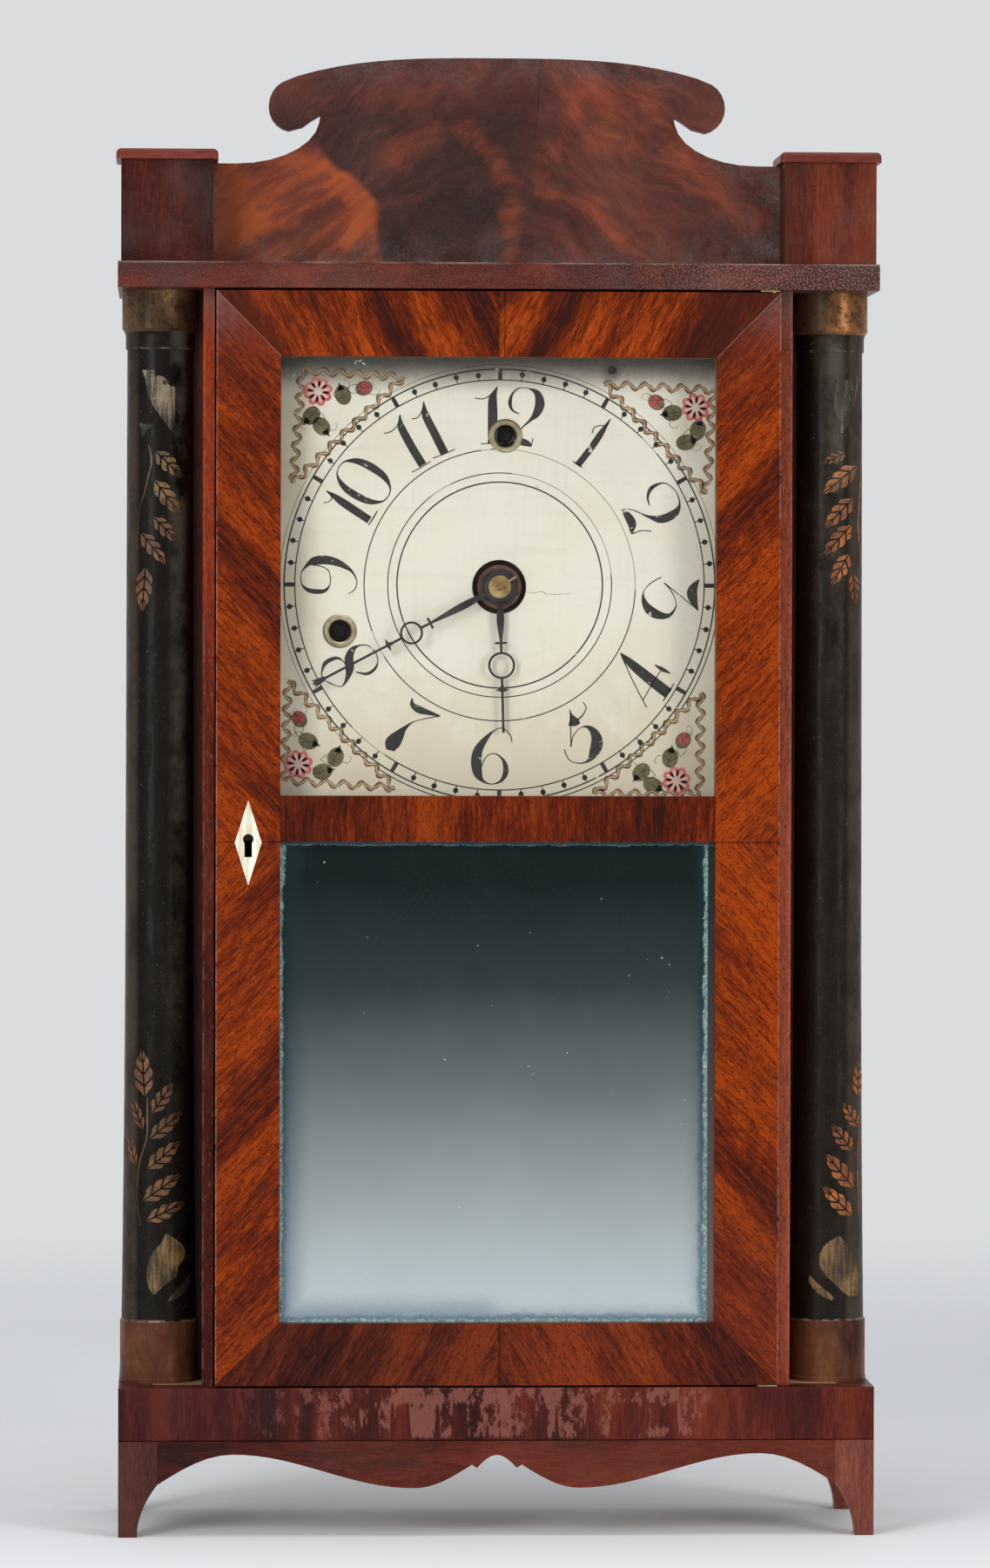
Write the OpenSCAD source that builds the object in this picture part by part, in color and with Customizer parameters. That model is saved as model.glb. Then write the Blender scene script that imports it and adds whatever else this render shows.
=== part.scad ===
// Thirty-hour shelf clock with half columns, splat and bracket feet.
// Millimetres. X runs to the right, Y to the back and Z up. The origin is on
// the floor, under the middle of the case. The clock's face looks along -Y.

/* [Case] */
// Width over the base block
base_w = 444; // [430:1:480]
// Depth of the whole case
case_d = 134; // [128:1:160]
// Height of the bracket feet and the apron
foot_h = 56; // [46:1:70]
// Height of the base block
base_h = 31.2; // [24:0.1:40]
// Height between the base block and the cornice
front_h = 643.8; // [640:1:700]
// Height of the cornice board
cornice_h = 15.4; // [12:0.1:20]
// How far the cornice reaches past the base on each side
cornice_lap = 1.2; // [0:0.1:6]
// Thickness of the base rails
rail_t = 20; // [14:1:24]
// Thickness of the floor board
floor_t = 10; // [6:1:12]
// Thickness of the side, column and back boards
board_t = 8; // [6:0.5:9]
// Gap from the base's side plane to the side boards
side_in = 6; // [4:0.5:10]
// Thickness of the apron boards
apron_t = 10; // [8:1:16]
// Drop of the apron from its top to its lowest point
apron_drop = 27.7; // [20:0.1:32]

/* [Top] */
// Width of a plinth block
plinth_w = 53.8; // [40:0.1:60]
// Height of a plinth block
plinth_h = 59.6; // [50:0.1:75]
// Depth of a plinth block
plinth_d = 50; // [40:1:60]
// Gap from the case's side plane to the plinth block
plinth_in = 1.9; // [0:0.1:8]
// Thickness of a plinth cap
cap_h = 6; // [4:0.5:10]
// Overhang of a plinth cap
cap_lap = 2.9; // [1:0.1:3.1]
// Height of the splat at its middle
splat_h = 122.4; // [112:0.1:130]
// Thickness of the splat
splat_t = 9; // [6:0.5:12]
// Distance of the splat behind the plinth fronts
splat_in = 35; // [20:1:38]

/* [Columns] */
// Distance of each column's axis from the base's side plane
column_in = 23.5; // [23:0.1:25]
// Depth of the column's flat back behind the front plane
column_back = 50; // [46:1:54]
// Radius of the base ring
ring_r = 22.9; // [21:0.1:23]
// Height of the base ring
ring_h = 36.8; // [28:0.1:50]
// Shaft radius at the foot
shaft_low_r = 22; // [20:0.1:22.4]
// Shaft radius at mid height
shaft_mid_r = 20; // [18:0.1:21]
// Shaft radius under the neck
shaft_top_r = 19.4; // [17:0.1:20]
// Radius of the capital
capital_r = 22.4; // [21:0.1:23]
// Height of the capital
capital_h = 22.5; // [16:0.1:30]
// Height of the neck band
neck_h = 7.2; // [5:0.1:12]

/* [Door] */
// Gap between a column's base ring and the jamb strip beside it
jamb_gap = 2.6; // [1:0.1:6]
// Thickness of the door's frame
door_t = 18; // [16:0.5:20]
// Set-back of the door from the front plane
door_in = 2; // [1.5:0.1:3]
// Gap above and below the door
door_gap = 1.1; // [1:0.1:2]
// Gap on each side of the door
side_gap = 1; // [0.8:0.1:2]
// Width of the stiles
stile_w = 37.7; // [32:0.1:40]
// Width of the top rail
top_rail_w = 38.3; // [32:0.1:44]
// Width of the bottom rail
bottom_rail_w = 36.6; // [32:0.1:44]
// Width of the middle rail
mid_rail_w = 26.9; // [24:0.1:36]
// Drop from the dial's centre to the middle rail's centre
mid_rail_down = 136.3; // [130:0.1:140]
// Width of the rabbet that holds the glass
rabbet_w = 6; // [4:0.5:8]
// Depth of the rabbet
rabbet_d = 9; // [8:0.5:10]
// Thickness of the glass
glass_t = 2; // [1.5:0.1:3]
// Thickness of the board behind the mirror
backing_t = 3; // [2:0.1:4]
// Thickness of the jamb strips beside the door
jamb_t = 6.5; // [5:0.5:7.5]
// Set-back of the jamb strips from the front plane
jamb_in = 12; // [10:0.5:14]
// Radius of the hinge pins
hinge_r = 1.5; // [1:0.1:2]
// Distance of the hinge axis from the door's edge and face
hinge_in = 4; // [3.5:0.1:5]
// Half height of the escutcheon
escutcheon_h = 25; // [20:0.5:30]
// Half width of the escutcheon
escutcheon_w = 7.9; // [6.5:0.1:10]

/* [Dial] */
// Sideways place of the dial's centre
dial_x = 1.5; // [-2:0.1:3]
// Drop from the cornice to the dial's centre
dial_down = 174; // [171:0.1:179]
// Space between the dial board and the jamb strips
dial_air = 16.5; // [12:0.5:20]
// Thickness of the dial board
dial_t = 8; // [5:0.5:9]
// Depth of the dial's face behind the front plane
dial_in = 31; // [29:0.5:32]
// Diameter of the dial's middle hole
dial_hole = 32; // [26:0.5:36]
// Outer diameter of a winding ferrule
ferrule_d = 20; // [18:0.5:24]
// Bore of a winding ferrule
ferrule_bore = 13.2; // [11:0.1:15]

/* [Hands] */
// Length of the minute hand
minute_len = 124; // [100:1:125]
// Length of the hour hand
hour_len = 86; // [70:1:100]
// Where the minute hand points, clockwise from the top
minute_angle = 242.3; // [0:0.1:360]
// Where the hour hand points, clockwise from the top
hour_angle = 178.3; // [0:0.1:360]
// Thickness of the hands
hand_t = 1.2; // [0.8:0.1:1.5]

/* [Movement] */
// Depth of the front plate's face behind the front plane
plate_in = 59; // [59:0.5:61]
// Thickness of the movement's plates
plate_t = 8; // [7:0.5:8.5]
// Space between the plates
plate_gap = 34; // [34:0.5:36]
// Module of the great wheels' teeth
great_m = 1.4; // [1.38:0.01:1.42]
// Module of the centre wheel's teeth
center_m = 0.95; // [0.94:0.01:0.97]
// Module of the third wheel's teeth
third_m = 0.85; // [0.84:0.01:0.87]
// Module of the motion work's teeth
motion_m = 1.1; // [1:0.01:1.15]
// Radius of the winding drums
drum_r = 27; // [24:0.5:28]
// Radius of the winding arbors
wind_r = 4; // [3.5:0.1:4.5]
// Radius of the wheels' pivots
pivot_r = 1.5; // [1:0.1:1.7]
// Running clearance of a pivot in its bore
run_gap = 0.05; // [0.02:0.01:0.1]
// Radius of the hands' arbor
hand_arbor_r = 2.5; // [2:0.1:2.6]
// Escape wheel radius
escape_r = 22; // [20:0.5:22.5]
// Length of the pendulum to the middle of its bob
pendulum_len = 297; // [240:1:320]
// Radius of the pendulum bob
bob_r = 23; // [18:0.5:26]
// Radius of the bell
bell_r = 31; // [26:0.5:33]

/* [Weights] */
// Radius of the weights
weight_r = 23; // [18:0.5:24]
// Length of the weights
weight_len = 125; // [100:1:140]
// Space between a weight and the side board
weight_air = 7; // [5:0.5:8]
// Height of the weights' lower end above the base block
weight_up = 213; // [180:1:240]
// Radius of the cord
cord_r = 1; // [0.8:0.1:1.2]
// Radius of the pulleys' groove
groove_r = 18.5; // [16:0.5:20]

/* [Hidden] */

// Colours, as the photograph shows them
mahogany = [0.42, 0.17, 0.10];
bright_mahogany = [0.66, 0.28, 0.10];
black_paint = [0.09, 0.09, 0.09];
pine = [0.72, 0.56, 0.36];
cherry = [0.55, 0.33, 0.18];
iron = [0.22, 0.22, 0.24];
brass = [0.72, 0.58, 0.30];
bone = [0.85, 0.80, 0.65];
dial_cream = [0.88, 0.86, 0.78];
mirror_grey = [0.55, 0.62, 0.65];

// Planes of the case
front_y = -case_d / 2;
back_y = case_d / 2;
base_half = base_w / 2;
block_z = foot_h + base_h;
cornice_z = block_z + front_h;
plinth_z = cornice_z + cornice_h;
cap_z = plinth_z + plinth_h;
cornice_half = base_half + cornice_lap;
side_half = base_half - side_in;
inner_half = side_half - board_t;
back_board_y = back_y - board_t;
column_x = base_half - column_in;
column_y = front_y + column_back;

// Door
jamb_half = column_x - ring_r - jamb_gap - jamb_t;
door_half = jamb_half - side_gap;
door_y = front_y + door_in;
door_back = door_y + door_t;
door_z = block_z + door_gap;
door_top = cornice_z - door_gap - 0.3;
hinge_x = door_half - hinge_in;
hinge_y = door_y + hinge_in;
hinge_len = 13;
hinge_plate_t = 0.8;
glass_y = door_back - rabbet_d;
centre_z = cornice_z - dial_down;
mid_low = centre_z - mid_rail_down - mid_rail_w / 2;
mid_top = mid_low + mid_rail_w;
open_half = door_half - stile_w;
dial_open_top = door_top - top_rail_w;
mirror_open_low = door_z + bottom_rail_w;
glass_play = 0.5;

// Dial and movement: every place below is [x, z]
dial_y = front_y + dial_in;
dial_back = dial_y + dial_t;
centre = [dial_x, centre_z];
plate_y = front_y + plate_in;
gap_y = plate_y + plate_t;
rear_y = gap_y + plate_gap;
plate_back = rear_y + plate_t;

// Plinths
plinth_out = base_half + cornice_lap - plinth_in;
plinth_inner = plinth_out - plinth_w;
plinth_y = front_y + cap_lap;
splat_y = plinth_y + splat_in;

function third_point(p, q, rp, rq, side) =
  let (d = norm(q - p), a = (rp * rp - rq * rq + d * d) / (2 * d),
       h = sqrt(rp * rp - a * a), u = (q - p) / d)
  p + a * u + side * h * [-u[1], u[0]];
function heading(p, q) = atan2(q[1] - p[1], q[0] - p[0]);
function mesh_phase(phase, n, m, dir) =
  dir + 180 - ((phase - dir) * n + 180) / m;
function pitch_r(n, m) = n * m / 2;

// Wheel counts: great wheel and pinion, second, centre, third and escape
great_n = 72;
second_pn = 12;
second_n = 32;
center_pn = 16;
center_n = 60;
third_pn = 7;
third_n = 64;
escape_pn = 7;
escape_n = 42;
cannon_n = 12;
minute_n = 36;
minute_pn = 10;
hour_n = 40;
strike_n = 48;
fly_pn = 8;
hour_m = motion_m * (cannon_n + minute_n) / (minute_pn + hour_n);
strike_m = motion_m;

time_side = 3.5;
time_up = 89;
strike_side = 94;
strike_down = 26.2;
escape_down = 60;
time_wind = centre + [time_side, time_up];
strike_wind = centre - [strike_side, strike_down];
escape_at = centre - [0, escape_down];
second_at = third_point(
  time_wind, centre,
  pitch_r(great_n + second_pn, great_m), pitch_r(second_n + center_pn, great_m), 1);
third_at = third_point(
  centre, escape_at,
  pitch_r(center_n + third_pn, center_m), pitch_r(third_n + escape_pn, third_m), -1);
verge_share = 1.243;
verge_at = escape_at + [0, escape_r * verge_share];
motion_r = pitch_r(cannon_n + minute_n, motion_m);
motion_dir = 35;
minute_at = centre + motion_r * [cos(motion_dir), sin(motion_dir)];
strike_dir = -55;
strike_second_at = strike_wind
  + pitch_r(great_n + second_pn, great_m) * [cos(strike_dir), sin(strike_dir)];
fly_dir = 200;
fly_at = strike_second_at
  + pitch_r(strike_n + fly_pn, strike_m) * [cos(fly_dir), sin(fly_dir)];

// Layers between the plates, measured from the front plate's back
drum_low = 6;
drum_high = 22;
flange_t = 1.5;
great_low = 24.5;
great_high = 29.5;
second_low = 8;
second_high = 12;
center_low = 16.5;
center_high = 19.5;
third_low = 25;
third_high = 28;
strike_low = 8;
strike_high = 11;
blade_low = 14;
blade_high = 22;
// Layers in front of the front plate, measured forward from its face
motion_low = 1.5;
motion_high = 5;
hour_low = 7.5;
hour_high = 11;
escape_low = 2.5;
escape_high = 5;
verge_low = 1.5;
verge_high = 7;
rod_off = 14;

plate_to_left = 108;
plate_to_right = 70;
plate_down = 116;
plate_up = 112;
plate_left = centre[0] - plate_to_left;
plate_right = centre[0] + plate_to_right;
plate_low = centre[1] - plate_down;
plate_top = centre[1] + plate_up;
pillar_r = 5;
pillar_in = 8;
hammer_side = 23;
hammer_down = 100;
bell_side = 66;
bell_down = 165;
hammer_at = centre + [hammer_side, -hammer_down];
bell_at = centre + [bell_side, -bell_down];
bell_t = 3;
bell_deep = 24;
bell_off = 2;
bell_mouth_y = rear_y + bell_off;
hammer_off = 26;
hammer_y = gap_y + hammer_off;
hammer_r = 7;
hammer_gap = 1.5;

// Weights, cords and pulleys
cord_air = 0.3;
weight_x = inner_half - weight_air - weight_r;
pulley_down = 31;
pulley_off = 24;
pulley_x = weight_x - groove_r - cord_r - cord_air;
pulley_z = cornice_z - pulley_down;
pulley_y = gap_y + pulley_off;
rim_h = 3;
pulley_rim = groove_r + rim_h;
pulley_t = 9;
winding_r = drum_r + 2 * cord_r;
weight_z = block_z + weight_up;
weight_neck = 8;
drop_low = weight_z + weight_len + weight_neck;
drop_down = 8;
drop_high = pulley_z - drop_down;
cord_sides = 8;

// Outlines of one solid between two depths: the children are drawn in X and Z
module between(y0, y1) {
  translate([0, y1, 0]) rotate([90, 0, 0]) linear_extrude(y1 - y0) union() children();
}

module block(x0, x1, y0, y1, z0, z1) {
  translate([x0, y0, z0]) cube([x1 - x0, y1 - y0, z1 - z0]);
}

module rod(at, y0, y1, r) {
  translate([at[0], y1, at[1]]) rotate([90, 0, 0]) cylinder(h = y1 - y0, r = r, $fn = 48);
}

module pair() {
  children();
  mirror([1, 0, 0]) children();
}

// A board with small rounds along its front edges, lying in X
module round_board(x0, x1, y0, y1, z0, z1, r) {
  translate([x0, 0, 0]) rotate([90, 0, 90]) linear_extrude(x1 - x0)
    union() {
      translate([y0 + r, z0]) square([y1 - y0 - r, z1 - z0]);
      translate([y0, z0 + r]) square([y1 - y0, z1 - z0 - 2 * r]);
      for (z = [z0 + r, z1 - r]) translate([y0 + r, z]) circle(r, $fn = 24);
    }
}

// ---- Case ----
foot_top_w = 22.8;
foot_flare = 11;

// Inner outline of a foot: from its seam with the apron to its toe
function foot_curve(w, h) = [
  for (i = [0:8]) let (t = i / 8) [w - (w - foot_flare) * (1 - pow(1 - t, 2)), h * (1 - t)]
];
foot_seam = foot_h - apron_drop + 2.3;

module foot_outline() {
  polygon(concat(
    [[0, 0], [0, foot_h], [foot_top_w, foot_h]], foot_curve(foot_top_w, foot_seam)));
}

// The foot's two faces are cut by the same curve
module foot() {
  intersection() {
    translate([base_half, 0, 0]) mirror([1, 0, 0])
      between(-foot_top_w, case_d) foot_outline();
    rotate([90, 0, 90]) linear_extrude(base_half) foot_outline();
  }
}

module bracket_feet() {
  color(mahogany) pair() {
    translate([0, front_y, 0]) foot();
    translate([0, back_y, 0]) mirror([0, 1, 0]) foot();
  }
}

// Lower edge of half of the front apron, from the foot to the middle
apron_half = base_half - foot_top_w;
arch_w = 48.5;
arch_tip = 14.7;
crest_in = 44.2;
crest_x = apron_half - crest_in;
crest_rise = apron_drop - 7.7;
cusp_rise = apron_drop - 13.7;
function ease(t) = (1 - cos(180 * t)) / 2;
function apron_edge() = concat(
  [for (i = [0:6]) let (t = i / 6)
    [apron_half - (apron_half - crest_x) * t,
     foot_seam + (foot_h - apron_drop + crest_rise - foot_seam) * sin(90 * t)]],
  [for (i = [1:16]) let (t = i / 16)
    [crest_x - (crest_x - arch_w) * t,
     foot_h - apron_drop + crest_rise * (1 - ease(t))]],
  [for (i = [1:8]) let (t = i / 8)
    [arch_w - (arch_w - arch_tip) * t,
     foot_h - apron_drop + (apron_drop - cusp_rise) * (1 - cos(90 * t))]],
  [for (i = [0:4]) let (t = i / 4)
    [arch_tip - 3 - (arch_tip - 3) * t,
     foot_h - cusp_rise - 1.9 + 7.7 * sin(90 * t)]]
);

module aprons() {
  color(mahogany) {
    between(front_y, front_y + apron_t)
      polygon(concat(
        [[-apron_half, foot_h], [apron_half, foot_h]],
        apron_edge(),
        [for (i = [len(apron_edge()) - 2:-1:0])
          [-apron_edge()[i][0], apron_edge()[i][1]]]));
    side_run = case_d - 2 * foot_top_w;
    pair()
      translate([base_half - apron_t, 0, 0]) rotate([90, 0, 90]) linear_extrude(apron_t)
        polygon(concat(
          [[-side_run / 2, foot_h], [side_run / 2, foot_h]],
          [for (i = [0:16]) let (t = i / 16)
            [side_run * (0.5 - t), foot_seam + (crest_rise - 3) * sin(180 * t)]]));
  }
}

module base_rails() {
  edge = 1.5;
  color(mahogany) {
    round_board(-base_half, base_half, front_y, front_y + rail_t, foot_h, block_z, edge);
    pair() block(base_half - rail_t, base_half, front_y + rail_t, back_y, foot_h, block_z);
    block(-base_half + rail_t, base_half - rail_t, back_y - rail_t, back_y, foot_h, block_z);
  }
}

module floor_board() {
  color(pine)
    block(-base_half + rail_t, base_half - rail_t, front_y + rail_t, back_y - rail_t,
      block_z - floor_t, block_z);
}

module side_boards() {
  color(mahogany) pair()
    block(inner_half, side_half, column_y + board_t, back_y, block_z, cornice_z);
}

// A board behind each column, and a jamb strip in front of it beside the door
module front_post() {
  block(jamb_half, side_half, column_y, column_y + board_t, block_z, cornice_z);
  block(jamb_half, jamb_half + jamb_t, front_y + jamb_in, column_y, block_z, cornice_z);
}

module front_posts() {
  color(mahogany) {
    front_post();
    difference() {
      mirror([1, 0, 0]) front_post();
      // pocket for the lock bolt
      block(-jamb_half - bolt_throw, -jamb_half + 1, bolt_y - pocket_play,
        bolt_y + bolt_t + pocket_play, bolt_z - pocket_play, bolt_z + bolt_h + pocket_play);
    }
  }
}

module back_board() {
  color(pine) pair()
    block(0, inner_half, back_board_y, back_y, block_z, cornice_z);
}

module cornice_board() {
  color(mahogany)
    round_board(-cornice_half, cornice_half, front_y, back_y, cornice_z, plinth_z, 1);
}

module plinth_blocks() {
  color(mahogany) pair()
    block(plinth_inner, plinth_out, plinth_y, plinth_y + plinth_d, plinth_z, cap_z);
}

module plinth_caps() {
  r = cap_h / 2;
  x0 = plinth_inner - cap_lap;
  x1 = plinth_out + cap_lap;
  y0 = front_y;
  y1 = plinth_y + plinth_d + cap_lap;
  color(mahogany) pair()
    translate([0, 0, cap_z])
      hull()
        for (x = [x0 + r, x1 - r], y = [y0 + r, y1 - r]) translate([x, y, 0]) {
          cylinder(h = 1, r = r, $fn = 32);
          translate([0, 0, r]) sphere(r, $fn = 32);
        }
}

// Splat: half outline from the middle of its top to the plinth
ear_in = 32.7;
ear_x = plinth_inner - ear_in;
ear_r = 14;
top_in = 16.8;
top_fall = 11.2;
nick_w = 19.8;
notch_w = 30.5;
cove_in = 13.7;
cove_w = 49;
cove_h = 27;
ear_drop = 29;
nick_drop = 41.4;
notch_drop = 34.3;
wing_drop = 62.8;
function splat_half() = let (top = splat_h, e = top - ear_drop) concat(
  [for (i = [0:10]) let (t = i / 10)
    [(ear_x - top_in) * t, top - top_fall * pow(t, 3.2)]],
  [for (a = [64:-16:-80])
    [ear_x - ear_r + ear_r * cos(a), e + ear_r * sin(a) * (a > 0 ? 1.12 : 1.05)]],
  [[ear_x - nick_w, top - nick_drop], [(2 * ear_x - nick_w - notch_w) / 2, top - nick_drop + 3.9],
   [ear_x - notch_w, top - notch_drop]],
  [for (a = [186:12:270])
    [plinth_inner - cove_in + cove_w * cos(a), top - wing_drop + cove_h * (1 + sin(a))]],
  [[plinth_inner, top - wing_drop]]
);

module splat() {
  edge = splat_half();
  color(mahogany) translate([0, 0, plinth_z])
    between(splat_y, splat_y + splat_t)
      polygon(concat(
        [[plinth_inner, 0]],
        [for (i = [len(edge) - 1:-1:0]) edge[i]],
        [for (i = [1:len(edge) - 1]) [-edge[i][0], edge[i][1]]],
        [[-plinth_inner, 0]]));
}

// ---- Columns ----
swell_h = 4.8;
lip = 0.4;
band = 0.9;
module half_column() {
  h = front_h;
  neck_z = h - capital_h - swell_h - neck_h;
  translate([column_x, column_y, block_z])
    rotate([0, 0, 180]) rotate_extrude(angle = 180, $fn = 96)
      polygon(concat(
        [[0, 0], [ring_r + lip, 0], [ring_r + lip, 2.2], [ring_r, 3]],
        [[ring_r, ring_h - 1], [ring_r - 0.8, ring_h]],
        [for (i = [0:12]) let (t = i / 12)
          [shaft_mid_r + (shaft_low_r - shaft_mid_r) * pow(1 - t, 1.8), ring_h + (h * 0.42) * t]],
        [[shaft_top_r, neck_z], [shaft_top_r + band, neck_z],
         [shaft_top_r + band, neck_z + neck_h]],
        [for (i = [0:5]) let (t = i / 5)
          [shaft_top_r + band + (capital_r - shaft_top_r - band) * t * t,
           neck_z + neck_h + swell_h * t]],
        [[capital_r, h], [0, h]]));
}

module half_columns() {
  color(black_paint) pair() half_column();
}

// ---- Door ----
hinge_plate_in = 8;
hinge_plate_out = 3.5;
hinge_plate_half = 3;
module hinge_plate(z) {
  block(hinge_x - hinge_plate_in, hinge_x + hinge_plate_out,
    hinge_y - hinge_plate_half, hinge_y + hinge_plate_half, z, z + hinge_plate_t);
}

module hinge_pins() {
  color(brass) {
    hinge_plate(cornice_z - hinge_plate_t);
    translate([hinge_x, hinge_y, door_top - hinge_len])
      cylinder(h = cornice_z - door_top + hinge_len - hinge_plate_t / 2, r = hinge_r, $fn = 32);
    hinge_plate(block_z);
    translate([hinge_x, hinge_y, block_z + hinge_plate_t / 2])
      cylinder(h = door_z - block_z + hinge_len - hinge_plate_t / 2, r = hinge_r, $fn = 32);
  }
}

module hinge_bores() {
  for (z = [door_top - hinge_len - 1, door_z - 1]) translate([hinge_x, hinge_y, z])
    cylinder(h = hinge_len + 2, r = hinge_r + run_gap, $fn = 32);
}

// The four corners are mitred from the outer to the inner corner. The part of
// each bar behind the glass is narrower by the rabbet.
module stile_outline(inset) {
  polygon([
    [door_half, door_z], [door_half, door_top],
    [open_half + inset, dial_open_top + inset * top_rail_w / stile_w],
    [open_half + inset, mirror_open_low - inset * bottom_rail_w / stile_w]
  ]);
}

module door_stile() {
  between(door_y, glass_y) stile_outline(0);
  between(glass_y, door_back) stile_outline(rabbet_w);
}

// Keyhole through the escutcheon and the stile behind it
key_in = 19;
key_up = 1.5;
key_x = key_in - door_half;
key_z = mid_low + key_up;
key_r = 3.1;
key_slot = 4.4;
inlay_t = 1.2;
module keyhole() {
  translate([key_x, key_z]) {
    circle(key_r, $fn = 32);
    translate([-key_slot / 2, -10.5]) square([key_slot, 10.5]);
  }
}

module escutcheon_outline(grow) {
  translate([key_x, key_z - 2])
    polygon([
      [0, -escutcheon_h - grow], [escutcheon_w + grow, 0],
      [0, escutcheon_h + grow], [-escutcheon_w - grow, 0]]);
}

module door_stile_left() {
  color(bright_mahogany) difference() {
    mirror([1, 0, 0]) door_stile();
    between(door_y - 1, door_back + 1) keyhole();
    between(door_y - 1, door_y + inlay_t) escutcheon_outline(0);
  }
}

module door_stile_right() {
  color(bright_mahogany) difference() {
    door_stile();
    hinge_bores();
  }
}

module top_outline(inset) {
  k = inset * stile_w / top_rail_w;
  polygon([
    [-door_half, door_top], [door_half, door_top],
    [open_half + k, dial_open_top + inset], [-open_half - k, dial_open_top + inset]]);
}

module bottom_outline(inset) {
  k = inset * stile_w / bottom_rail_w;
  polygon([
    [-door_half, door_z], [-open_half - k, mirror_open_low - inset],
    [open_half + k, mirror_open_low - inset], [door_half, door_z]]);
}

module door_rail_top() {
  color(bright_mahogany) difference() {
    union() {
      between(door_y, glass_y) top_outline(0);
      between(glass_y, door_back) top_outline(rabbet_w);
    }
    hinge_bores();
  }
}

module door_rail_bottom() {
  color(bright_mahogany) difference() {
    union() {
      between(door_y, glass_y) bottom_outline(0);
      between(glass_y, door_back) bottom_outline(rabbet_w);
    }
    hinge_bores();
  }
}

module door_rail_middle() {
  color(bright_mahogany) {
    block(-open_half, open_half, door_y, glass_y, mid_low, mid_top);
    block(-open_half - rabbet_w, open_half + rabbet_w, glass_y, door_back,
      mid_low + rabbet_w, mid_top - rabbet_w);
  }
}

pane_half = open_half + rabbet_w - glass_play;
dial_pane_low = mid_top - rabbet_w + glass_play;
dial_pane_top = dial_open_top + rabbet_w - glass_play;
mirror_pane_low = mirror_open_low - rabbet_w + glass_play;
mirror_pane_top = mid_low + rabbet_w - glass_play;

module dial_glass() {
  color([0.8, 0.9, 0.9, 0.3])
    block(-pane_half, pane_half, glass_y, glass_y + glass_t, dial_pane_low, dial_pane_top);
}

module mirror_plate() {
  color(mirror_grey)
    block(-pane_half, pane_half, glass_y, glass_y + glass_t, mirror_pane_low, mirror_pane_top);
}

// A board behind the mirror and four strips behind the dial glass
module glass_retainers() {
  y = glass_y + glass_t;
  w = rabbet_w - glass_play;
  color(pine) {
    block(-pane_half, pane_half, y, y + backing_t, mirror_pane_low, mirror_pane_top);
    pair() block(pane_half - w, pane_half, y, y + backing_t, dial_pane_low, dial_pane_top);
    for (z = [dial_pane_low, dial_pane_top - w])
      block(-pane_half + w, pane_half - w, y, y + backing_t, z, z + w);
  }
}

module escutcheon() {
  color(bone) difference() {
    between(door_y - 0.2, door_y + inlay_t) escutcheon_outline(0);
    between(door_y - 1, door_y + inlay_t + 1) keyhole();
  }
}

lock_half_w = 12;
lock_h = 40;
lock_t = 6;
bolt_h = 8;
bolt_t = 3;
bolt_len = 20;
bolt_play = 0.3;
bolt_throw = 4;
pocket_play = 0.7;
bolt_x = key_x - lock_half_w - 2;
bolt_y = door_back + 1.5;
bolt_z = key_z + 6;
lock_z = key_z - lock_h / 2;

module lock_case() {
  color(iron) difference() {
    block(key_x - lock_half_w, key_x + lock_half_w, door_back, door_back + lock_t,
      lock_z, lock_z + lock_h);
    // slot in which the bolt slides
    block(key_x - lock_half_w - 1, bolt_x + bolt_len + 2, bolt_y - bolt_play,
      bolt_y + bolt_t + bolt_play, bolt_z - bolt_play, bolt_z + bolt_h + bolt_play);
    between(door_back - 1, door_back + lock_t + 1) keyhole();
  }
}

module lock_bolt() {
  color(brass)
    block(bolt_x, bolt_x + bolt_len, bolt_y, bolt_y + bolt_t, bolt_z, bolt_z + bolt_h);
}

// ---- Dial ----
winds = [time_wind, strike_wind];

dial_rest = jamb_half - dial_air;
module dial_board() {
  h = dial_rest;
  color(dial_cream) difference() {
    block(centre[0] - h, centre[0] + h, dial_y, dial_back, centre[1] - h, centre[1] + h);
    rod(centre, dial_y - 1, dial_back + 1, dial_hole / 2);
    for (w = winds) rod(w, dial_y - 1, dial_back + 1, ferrule_d / 2 - 1.5);
  }
}

module winding_ferrules() {
  color(brass) for (w = winds)
    translate([w[0], dial_back, w[1]]) rotate([90, 0, 0])
      rotate_extrude($fn = 64)
        polygon([
          [ferrule_bore / 2, 0], [ferrule_d / 2 - 1.5, 0], [ferrule_d / 2 - 1.5, dial_t],
          [ferrule_d / 2, dial_t], [ferrule_d / 2, dial_t + 0.5],
          [ferrule_d / 2 - 1, dial_t + 1.2], [ferrule_bore / 2 + 0.8, dial_t + 1.2],
          [ferrule_bore / 2, dial_t + 0.6]]);
}

cleat_w = 28;
cleat_in = 8;
module dial_cleats() {
  h = dial_rest - cleat_in;
  color(pine) pair()
    block(jamb_half - cleat_w, jamb_half, dial_back, column_y + board_t,
      centre[1] - h, centre[1] + h);
}

// ---- Movement plates ----
rail_in = 8;
rail_wide = 14;
rail_past = 14;
module movement_rails() {
  color(pine) for (x = [plate_left + rail_in, plate_right - rail_in - rail_wide])
    block(x, x + rail_wide, plate_back, back_board_y, plate_low - rail_past,
      plate_top + rail_past);
}

pillars = [
  [plate_left + pillar_in, plate_low + 7], [plate_right - pillar_in, plate_low + 7],
  [plate_left + pillar_in, plate_top - 6], [plate_right - pillar_in, plate_top - 6]
];

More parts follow.
